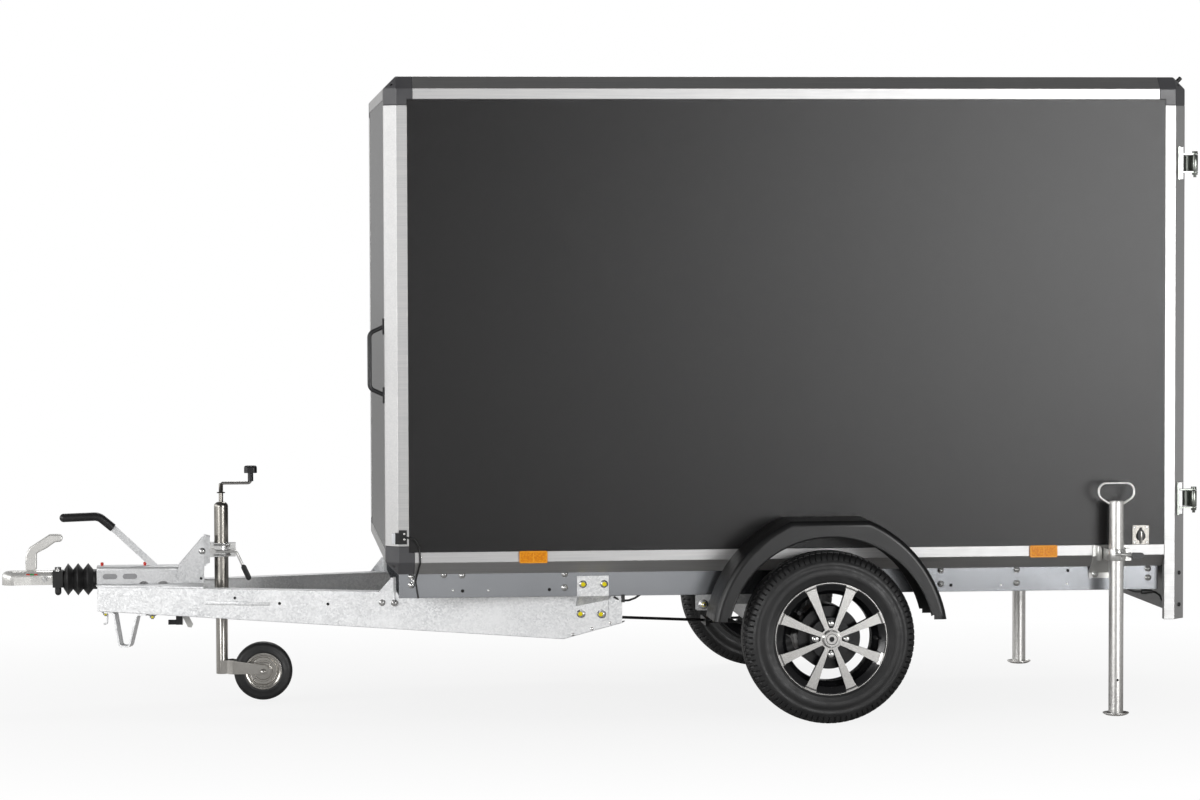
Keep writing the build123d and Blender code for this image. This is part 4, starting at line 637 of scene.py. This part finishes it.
def on_beam(run, drop, side):
    """A place on a drawbar beam's web, by its distance along it and below its top, and the way out."""
    along = (beam_end - beam_start).normalized()
    place = beam_start + along * run - Z * drop
    return Vector((place.x, side * place.y, place.z)), Vector((-along.y, side * along.x, 0))


def on_side(face, x, z, side):
    """A place on a face across Y, and the way out."""
    return Vector((x, side * face, z)), Y * side


def both_sides(spots, where=on_side):
    """Places on both sides of the trailer: where(*spot, side) gives each."""
    return [where(*spot, side) for side in (LEFT, RIGHT) for spot in spots]


def rail_spots(pairs):
    """Both rails' places, by (behind their front ends, above their lower edges) in millimetres."""
    return both_sides([(rail_face, rail_low.x + x * MM, rail_low.z + z * MM) for x, z in pairs])


def beam_spots(pairs, out=0.0):
    """Both beams' places, by (along, below the top) in millimetres."""
    return [(place + away * out, away) for place, away in
            both_sides([(run * MM, drop * MM) for run, drop in pairs], on_beam)]


# ---------------------------------------------------------------------- fixings
def hex_bolt(mesh, place, out, across):
    """A hexagon head on a washer."""
    washer, corner = 0.0016, across / math.sqrt(3)
    turned(mesh, place, out, [(0.85 * across, 0), (0.85 * across, washer)], sides=20)
    turned(mesh, place, out, [(corner, washer), (corner, washer + 0.4 * across),
                              (0.85 * corner, washer + 0.48 * across)], sides=6, turn=0.4)
    turned(mesh, place, out, [(0.3 * across, 0), (0.3 * across, washer + 0.7 * across)], sides=12)


def pan_screw(mesh, place, out, across):
    """A round head with a recess for the driver."""
    radius = across / 2
    turned(mesh, place, out, [(radius, 0), (radius, 0.3 * radius), (0.75 * radius, 0.55 * radius),
                              (0.35 * radius, 0.62 * radius), (0.2 * radius, 0.3 * radius)], sides=14)


def rivet(mesh, place, out, across):
    """A blind rivet's domed head."""
    radius = across / 2
    turned(mesh, place, out, [(radius, 0), (0.9 * radius, 0.3 * radius), (0.5 * radius, 0.55 * radius),
                              (0.25 * radius, 0.58 * radius)], sides=14)


def disc(mesh, place, out, across):
    """A thin round mark, or a disc of painted shade for the inside of a drilled hole."""
    turned(mesh, place, out, [(across / 2, 0), (across / 2, 0.0004)], sides=16)


def paint_dab(mesh, place, out, across):
    """Paint over a bolt's end."""
    radius = 0.44 * across
    turned(mesh, place, out, [(radius, 0.55 * across), (radius, 0.8 * across),
                              (0.6 * radius, 0.86 * across)], sides=14)


def fixings(name, kind, across, spots, finish=bright_zinc, body="trailer"):
    """One piece of many alike fixings."""
    mesh = bmesh.new()
    for place, out in spots:
        kind(mesh, place, out, across)
    piece(name, mesh, finish, body, sharp=30)


low_bracket = beam_spots([(1676, 61), (1745, 61)], PLATE)
high_bracket = both_sides([(rail_face + PLATE, nose + x, beam_top + 0.04) for x in (1.925, 1.995)])
axle_front = (rail_face, nose + 2.324, beam_top - 0.032)
fixings("rail_bolts", hex_bolt, 0.013, rail_spots([
    (41, 71), (41, 43.5), (147, 76), (206, 74), (543, 74), (543, 29), (1793, 72), (1793, 26), (2049, 71),
    (2049, 26), (2493, 69), (2493, 39)]))
fixings("rail_rivets", rivet, 0.009, rail_spots([(177, 24), (293, 22.5), (1996, 20), (2219, 21)]))
# Near-black discs over the rails' and beams' holes: painted shade for their insides.
fixings("rail_hole_shades", disc, 0.011, rail_spots([(208, 22), (493, 23), (1828, 22), (2222, 66)]),
        painted_hole_shade)
fixings("beam_hole_shades", disc, 0.01, beam_spots([(642, 45.5), (810, 44.4), (486, 29.6)]),
        painted_hole_shade)
fixings("gusset_bolts", hex_bolt, 0.013, beam_spots([(999, 36), (1040, 36)], PLATE))
fixings("bracket_bolts_low", hex_bolt, 0.017, low_bracket)
fixings("bracket_bolts_high", hex_bolt, 0.015, high_bracket)
fixings("beam_rivets", rivet, 0.011, beam_spots([(1647, 131), (1711, 111), (1774, 91)]))
fixings("axle_bolts", hex_bolt, 0.019, both_sides([axle_front, (rail_face, nose + 2.5, beam_top - 0.014)]))
fixings("paint_marks", paint_dab, 0.017, low_bracket + high_bracket + both_sides([axle_front]), yellow_mark)

# ----------------------------------------------------------------- road wheels
wheel = middle_of("tyre_left")
wheel_outer = high("rim_right").y
for side, hand in HANDS:
    out, body = Y * side, f"wheel_{hand}"
    pad = Vector((wheel.x, side * (wheel_outer - 0.026), wheel.z))
    mesh = bmesh.new()
    for n in range(4):
        place = pad + around(math.pi / 2 * n) * 0.05
        turned(mesh, place, out, [(0.0125, 0), (0.0125, 0.004), (0.0105, 0.007)], sides=20)
        turned(mesh, place, out, [(0.0098, 0.006), (0.0098, 0.019), (0.008, 0.0215), (0.004, 0.022)], sides=6)
    piece(f"wheel_bolts_{hand}", mesh, body=body)
    mesh = bmesh.new()
    hoop(mesh, Vector((wheel.x, side * (wheel_outer - 0.0122), wheel.z)), out,
         [(0.0292, 0), (0.0296, 0.0004), (0.0252, 0.0118), (0.0246, 0.0118)], 48)
    piece(f"wheel_cap_{hand}", mesh, body=body)
    mesh = bmesh.new()
    turned(mesh, pad + X * 0.148 - out * 0.012, out, [(0.0065, 0), (0.0055, 0.012), (0.004, 0.014),
                                                      (0.004, 0.034), (0.003, 0.035)], sides=14)
    piece(f"wheel_valve_{hand}", mesh, rubber_black, body)

# Round lip along the mudguards' openings, about a centre a little below the wheel's.
LIP_REACH, LIP_DROP, LIP_STEPS = 0.3385, 0.008, 64
guard_low, guard_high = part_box("mudguards")
lip_start = math.asin((guard_low.z + 0.012 - (wheel.z - LIP_DROP)) / LIP_REACH)
lip_turn = (math.pi - 2 * lip_start) / LIP_STEPS
for side, hand in HANDS:
    centre = Vector((wheel.x, side * (guard_high.y + 0.0001), wheel.z - LIP_DROP))
    mesh = bmesh.new()
    tube(mesh, [centre + around(lip_start + lip_turn * n) * LIP_REACH for n in range(LIP_STEPS + 1)],
         0.0024, sides=10)
    piece(f"mudguard_lip_{hand}", mesh, guard_plastic)

# ---------------------------------------------------------------------- coupling
HEAD_SIDE = 0.027
for side, hand in HANDS:
    out = Y * side
    mesh = bmesh.new()
    hex_bolt(mesh, Vector((nose + 0.146, side * HEAD_SIDE, beam_top + 0.023)), out, 0.013)
    hex_bolt(mesh, Vector((nose + 0.189, side * 0.019, beam_top + 0.049)), Z, 0.013)
    hoop(mesh, Vector((nose + 0.069, side * HEAD_SIDE, beam_top + 0.032)), out,
         [(0.0055, 0), (0.0075, 0), (0.007, 0.0008), (0.006, 0.0008)], 24)
    piece(f"coupling_bolts_{hand}", mesh)
    for name, begin, end, finish in (("red", 0.083, 0.095, red_cap), ("green", 0.0955, 0.109, green_mark),
                                     ("red_end", 0.1095, 0.121, red_cap)):
        ends = [Vector((nose + x, side * HEAD_SIDE, beam_top + 0.038)) for x in (begin, end)]
        mesh = bmesh.new()
        bar(mesh, *ends, 0.005, 0.0012, out)
        piece(f"coupling_mark_{name}_{hand}", mesh, finish)

mesh = bmesh.new()
for x in (0.338, 0.483):
    turned(mesh, Vector((nose + x, 0, high("overrun_housing").z - 0.001)), Z,
           [(0.0045, 0), (0.0045, 0.004), (0.0055, 0.005), (0.0055, 0.011), (0.0035, 0.013)], sides=16)
piece("grease_caps", mesh, red_cap)

# ----------------------------------------------------------------- support wheel
# A wire hoop goes round the support wheel's tube at two levels of its clamp.
WIRE = 0.0032
post, tube_high = middle_of("jockey_tube"), high("jockey_tube")
tube_reach = tube_high.x - post.x
wire_reach = tube_reach + 0.0085
clamp_level = middle_of("jockey_clamp").z
wire_levels = (clamp_level - 0.017, clamp_level + 0.017)
mesh = bmesh.new()
for level in wire_levels:
    turns = [math.radians(angle) for angle in range(0, 181, 15)]
    bend = [(post.x + wire_reach * math.sin(turn), post.y - wire_reach * math.cos(turn)) for turn in turns]
    loop = [(post.x - 0.026, -wire_reach), *bend, (post.x - 0.026, wire_reach)]
    tube(mesh, [Vector((x, y, level)) for x, y in loop], WIRE, sides=10)
tube(mesh, [Vector((post.x + 0.012, -tube_reach - 0.0055, level)) for level in wire_levels], WIRE, sides=10)
piece("jockey_hoop", mesh)
mesh = bmesh.new()
turned(mesh, Vector((post.x, post.y, tube_high.z - 0.001)), Z,
       [(0.0145, 0), (0.0145, 0.003), (0.0075, 0.004), (0.0075, 0.031), (0.006, 0.033)], sides=28)
piece("jockey_crank_sleeve", mesh, nickel, body="jockey_post")

SUNK = 0.0004                   # the rings and dimples start this far under the rim's surface
DIMPLE_REACH = 0.0425
hub = middle_of("jockey_rim")
rings, caps = bmesh.new(), bmesh.new()
for side in (LEFT, RIGHT):
    out = Y * side
    for radius, width, height in ((0.0605, 0.0022, 0.0022), (0.051, 0.0025, 0.0016), (0.034, 0.0035, 0.003)):
        hoop(rings, hub + out * (rim_surface(radius) - SUNK), out,
             [(radius - width, 0), (radius - 0.6 * width, height), (radius + 0.6 * width, height),
              (radius + width, 0)], 72)
    face = hub + out * (rim_surface(DIMPLE_REACH) - SUNK)
    for n in range(4):
        turned(rings, face + around(math.radians(45 + 90 * n)) * DIMPLE_REACH, out,
               [(0.0045, 0), (0.0035, 0.0016), (0.0015, 0.002)], sides=16)
    nut = Vector((hub.x, side * 0.0435, hub.z))
    turned(caps, nut, out, [(0.01, 0), (0.01, 0.003), (0.0085, 0.005)], sides=6)
    turned(caps, nut, out, [(0.005, 0.004), (0.005, 0.0075)], sides=14)
piece("jockey_rim_rings", rings, soft_nickel, body="jockey_wheel")
piece("jockey_axle_nuts", caps, soft_nickel, body="jockey_swivel_leg")

# ---------------------------------------------------------- on the drawbar's beams
fixings("bracket_side_bolts", hex_bolt, 0.013, both_sides([
    (high("jockey_bracket").y, nose + 0.678, beam_top + 0.114)]))
fixings("bracket_plugs", pan_screw, 0.009, both_sides([(0.045, nose + 0.674, beam_top + 0.02)]),
        rubber_black)
hoop_bolts = []
for run, drop in ((0.022, 0.088), (0.188, 0.095)):
    place, out = on_beam(run, drop, LEFT)
    hoop_bolts.append((place - out * 0.022, -Z))
fixings("hoop_bolts", hex_bolt, 0.016, hoop_bolts)
fixings("hoop_marks", disc, 0.008, [(place - Y * 0.0088 - Z * 0.006, -Y) for place, out in hoop_bolts],
        yellow_mark)
mesh = bmesh.new()
for side in (LEFT, RIGHT):
    (start, out), (end, out) = (on_beam(run, 0.048, side) for run in (0.381, 0.609))
    bar(mesh, start, end, 0.013, 0.0008, out)
piece("beam_blank_strip", mesh, zinc)

# ----------------------------------------------------------- lamps, leads, reflectors
LEAD = 0.0035                   # a lead's radius
CABLE_SAG = ((-0.03, 0.004), (-0.015, 0.012), (0, 0.017), (0.02, 0.016), (0.04, 0.009), (0.057, -0.002))
PLUG_LEADS = (((-0.006, 0), (-0.03, 0.001), (-0.06, 0.012), (-0.08, 0.03)),
              ((0.026, 0), (0.04, -0.002), (0.055, -0.012), (0.062, -0.03)))
fixings("lamp_screws", pan_screw, 0.009, both_sides([
    (half_width + 0.004, front + 0.0595, bottom + rise) for rise in (0.136, 0.118)]))
fixings("lead_clips", pan_screw, 0.01, both_sides([
    (half_width, nose + 1.391, bottom + 0.057), (rail_face, nose + 1.372, bottom - 0.0235)]))
clips, plugs = bmesh.new(), bmesh.new()
for side in (LEFT, RIGHT):
    clip = Vector((nose + 2.0575, side * rail_face, beam_top))
    bar(clips, clip - Z * 0.022, clip + Z * 0.004, 0.012, 0.006, Y * side)
    tube(clips, [Vector((clip.x + run, clip.y * 0.99, clip.z - dip)) for run, dip in CABLE_SAG],
         LEAD, sides=10)
    plug = Vector((nose + 3.805, side * (rail_face - 0.02), beam_top - 0.01))
    turned(plugs, plug, X, [(0.006, -0.008), (0.0085, -0.006), (0.0085, 0.012), (0.0065, 0.014),
                            (0.0065, 0.028)], sides=16)
    for lead in PLUG_LEADS:
        tube(plugs, [plug + X * x + Z * z for x, z in lead], LEAD, sides=10)
piece("cable_clips", clips, rubber_black)
piece("lamp_plugs", plugs, rubber_black)

reflector_low, reflector_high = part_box("side_reflectors")
frames = bmesh.new()
for side in (LEFT, RIGHT):
    for middle in (reflector_low.x + 0.046, reflector_high.x - 0.046):
        centre = Vector((middle, side * (reflector_high.y - 0.0002), middle_of("side_reflectors").z))
        strips = [(centre + Z * rise, X * 0.043) for rise in (-0.0175, 0.0175)]
        strips += [(centre + X * run, Z * 0.0155) for run in (-0.0435, 0, 0.0435)]
        for strip, half in strips:
            bar(frames, strip - half, strip + half, 0.0035, 0.0008, Y * side)
piece("reflector_frames", frames, amber_frame)

# -------------------------------------------------------------------- rear fittings
fixings("post_plugs", pan_screw, 0.014, [
    (Vector((rear - 0.02, side * (half_width - 0.02), bottom - drop)), Vector((1, side, 0)).normalized())
    for side in (LEFT, RIGHT) for drop in (0.022, 0.128)], rubber_black)
hinge_levels = (top - 0.284, bottom + 0.225)
fixings("hinge_screws", pan_screw, 0.009, [
    (Vector((rear - 0.023, side * (half_width - 0.021), level + rise)), X)
    for side in (LEFT, RIGHT) for level in hinge_levels for rise in (-0.044, 0.044)])
for side, hand in HANDS:
    body = f"rear_door_{hand}"
    strap_end = min(abs(corner.y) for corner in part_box(f"door_hinges_{hand}"))
    fixings(f"strap_bolts_{hand}", hex_bolt, 0.01, [
        (Vector((rear + 0.007, side * (strap_end + reach), level)), X)
        for level in hinge_levels for reach in (0.02, 0.075, 0.13)], body=body)
    door_low, door_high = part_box(f"door_{hand}")
    levels = (door_low.z + 0.09, (door_low.z + door_high.z) / 2, door_high.z - 0.09)
    fixings(f"guide_screws_{hand}", pan_screw, 0.006, [
        (Vector((door_high.x + 0.025, side * 0.06 + across, level + rise)), X)
        for level in levels for across in (-0.0145, 0.0145) for rise in (-0.018, 0.018)], body=body)

catch = middle_of("door_catches")
fixings("catch_screws", pan_screw, 0.008, both_sides([
    (half_width + 0.003, catch.x + x, catch.z + z) for x in (-0.021, 0.021) for z in (-0.025, 0.025)]))
bowls, tongues = bmesh.new(), bmesh.new()
for side in (LEFT, RIGHT):
    out = Y * side
    seat = Vector((catch.x, side * (half_width + 0.0028), catch.z))
    turned(bowls, seat - Z * 0.004, out, [(0.016, 0), (0.016, 0.0012), (0.012, 0.0016)], sides=32)
    turned(bowls, seat + Z * 0.02, out, [(0.005, 0), (0.005, 0.003), (0.003, 0.0036)], sides=16)
    bend = ((0.0075, 0.012), (0.0085, 0.004), (0.009, -0.006), (0.0085, -0.016), (0.003, -0.028))
    tube(tongues, [seat + out * rise + Z * up for rise, up in bend], 0.0034)
piece("catch_bowls", bowls, rubber_black)
piece("catch_tongues", tongues, soft_nickel)

# -------------------------------------------------------------------- support legs
clamp_front = low("leg_clamps").x
fixings("leg_mount_bolts", hex_bolt, 0.013, both_sides([
    (half_width + 0.005, clamp_front + 0.104, bottom + 0.056),
    (rail_face + 0.005, clamp_front + 0.02, bottom - 0.027),
    (rail_face + 0.005, clamp_front + 0.094, bottom - 0.027)]))
# Near-black discs on the leg hinges' upper ends: painted shade in the holes there.
fixings("leg_hinge_end_shades", disc, 0.012, [
    (Vector((clamp_front + 0.02, side * (half_width + 0.01), bottom + 0.073)), Z) for side in (LEFT, RIGHT)],
    painted_hole_shade)

# ------------------------------------------------------------- stage and camera
FLOOR_HALF = 60.0
FLOOR_FADE = (0.6, 2.6)         # the camera sees the floor turn white between these distances,
METAL_FADE = (2.0, 7.0)         # and reflections see it so between these,
BEHIND_FADE = (1.0, 3.0)        # but less of it behind the trailer
BACKDROP_LEVEL, BACKDROP_EDGE = 0.44, (0.1, 0.7)
LEFT_LEVEL, LEFT_EDGE = 2.25, (-0.95, -0.5)
WALL_TOP = (0.2, 0.75)
ROOM_LEVEL = 0.115
WHITE = (1, 1, 1)


def white_floor():
    """A pale floor that turns plain white away from the trailer and keeps its shadow near it."""
    made = Finish("floor_pale", 0.9, Specular_IOR_Level=0.0)
    made.feed((0.72, 0.71, 0.7), made.shader.inputs["Base Color"])
    rays = made.node("LightPath").outputs
    length = made.node("VectorMath", operation="LENGTH")
    made.link(made.where((0.6, 1, 1)), length.inputs[0])
    reach = length.outputs["Value"]
    for_camera = made.math("MULTIPLY", rays["Is Camera Ray"], made.spread(reach, *FLOOR_FADE, 0.86, 1.0))
    shiny = made.math("ADD", rays["Is Glossy Ray"], rays["Is Transmission Ray"])
    seen = made.math("MULTIPLY", made.spread(reach, *METAL_FADE),
                     made.spread(made.place()["Y"], *BEHIND_FADE, 1.0, 0.3))
    white = made.math("ADD", for_camera, made.math("MULTIPLY", shiny, seen), use_clamp=True)
    glow = made.node("Emission")
    made.feed(WHITE, glow.inputs["Color"])
    mixed = made.node("MixShader")
    made.link(white, mixed.inputs["Fac"])
    made.link(made.shader.outputs["BSDF"], mixed.inputs[1])
    made.link(glow.outputs["Emission"], mixed.inputs[2])
    made.link(mixed.outputs["Shader"], made.tree.nodes["Material Output"].inputs["Surface"])

    plane = bmesh.new()
    bmesh.ops.create_grid(plane, x_segments=1, y_segments=1, size=FLOOR_HALF)
    data = bpy.data.meshes.new("floor")
    plane.to_mesh(data)
    plane.free()
    data.materials.append(made.material)
    in_scene("floor", data)


def studio_world():
    """White to the camera. As light: a pale backdrop behind and to the left, a dim room overhead."""
    world = bpy.data.worlds.new("studio")
    bpy.context.scene.world = world
    world.use_nodes = True
    made = Nodes(world.node_tree)
    direction = made.parts(made.node("TexCoord").outputs["Generated"])
    behind = made.spread(direction["Y"], *BACKDROP_EDGE, 0.0, BACKDROP_LEVEL, "SMOOTHSTEP")
    left = made.spread(direction["X"], *LEFT_EDGE, LEFT_LEVEL, 0.0, "SMOOTHSTEP")
    height = made.spread(direction["Z"], *WALL_TOP, 1.0, 0.0, "SMOOTHSTEP")
    walls = made.math("MULTIPLY", made.math("MAXIMUM", behind, left), height)
    room = made.math("ADD", walls, ROOM_LEVEL)
    background = made.tree.nodes["Background"]
    made.feed(WHITE, background.inputs["Color"])
    to_camera = made.node("LightPath").outputs["Is Camera Ray"]
    made.link(made.number_blend(to_camera, room, 1.0), background.inputs["Strength"])


def softbox(name, place, target, width, height, power):
    """A soft area lamp at a place, aimed at a target."""
    data = bpy.data.lights.new(name, "AREA")
    data.shape = "RECTANGLE"
    data.size, data.size_y = width, height
    data.energy = power
    lamp = in_scene(name, data)
    lamp.location = place
    lamp.rotation_mode = "QUATERNION"
    lamp.rotation_quaternion = (Vector(target) - Vector(place)).to_track_quat("-Z", "Y")


white_floor()
studio_world()
softbox("key", (6.3, -12.5, 2.0), (0.8, 0, 0.9), 5.0, 3.8, 680)
softbox("fill", (-8.8, -9.5, 2.0), (-0.5, 0, 0.7), 5.0, 3.8, 350)
softbox("top", (0, 5.0, 6.0), (0, 0, 1.5), 4.0, 2.0, 150)

CAMERA_YAW, CAMERA_DOWN, CAMERA_ROLL = 0.09676, 0.04288, -0.0031
camera_data = bpy.data.cameras.new("camera")
camera_data.lens = 112.35
camera_data.sensor_width = 36.0
camera = in_scene("camera", camera_data)
camera.location = (-1.18468, -12.83776, 1.57302)
ahead = Vector((math.sin(CAMERA_YAW) * math.cos(CAMERA_DOWN), math.cos(CAMERA_YAW) * math.cos(CAMERA_DOWN),
                -math.sin(CAMERA_DOWN)))
level_right = Vector((math.cos(CAMERA_YAW), -math.sin(CAMERA_YAW), 0))
upright = level_right.cross(ahead)
tilted_right = level_right * math.cos(CAMERA_ROLL) + upright * math.sin(CAMERA_ROLL)
tilted_up = upright * math.cos(CAMERA_ROLL) - level_right * math.sin(CAMERA_ROLL)
camera.rotation_mode = "QUATERNION"
camera.rotation_quaternion = Matrix((tilted_right, tilted_up, -ahead)).transposed().to_quaternion()
bpy.context.scene.camera = camera
bpy.context.scene.view_settings.view_transform = "Standard"
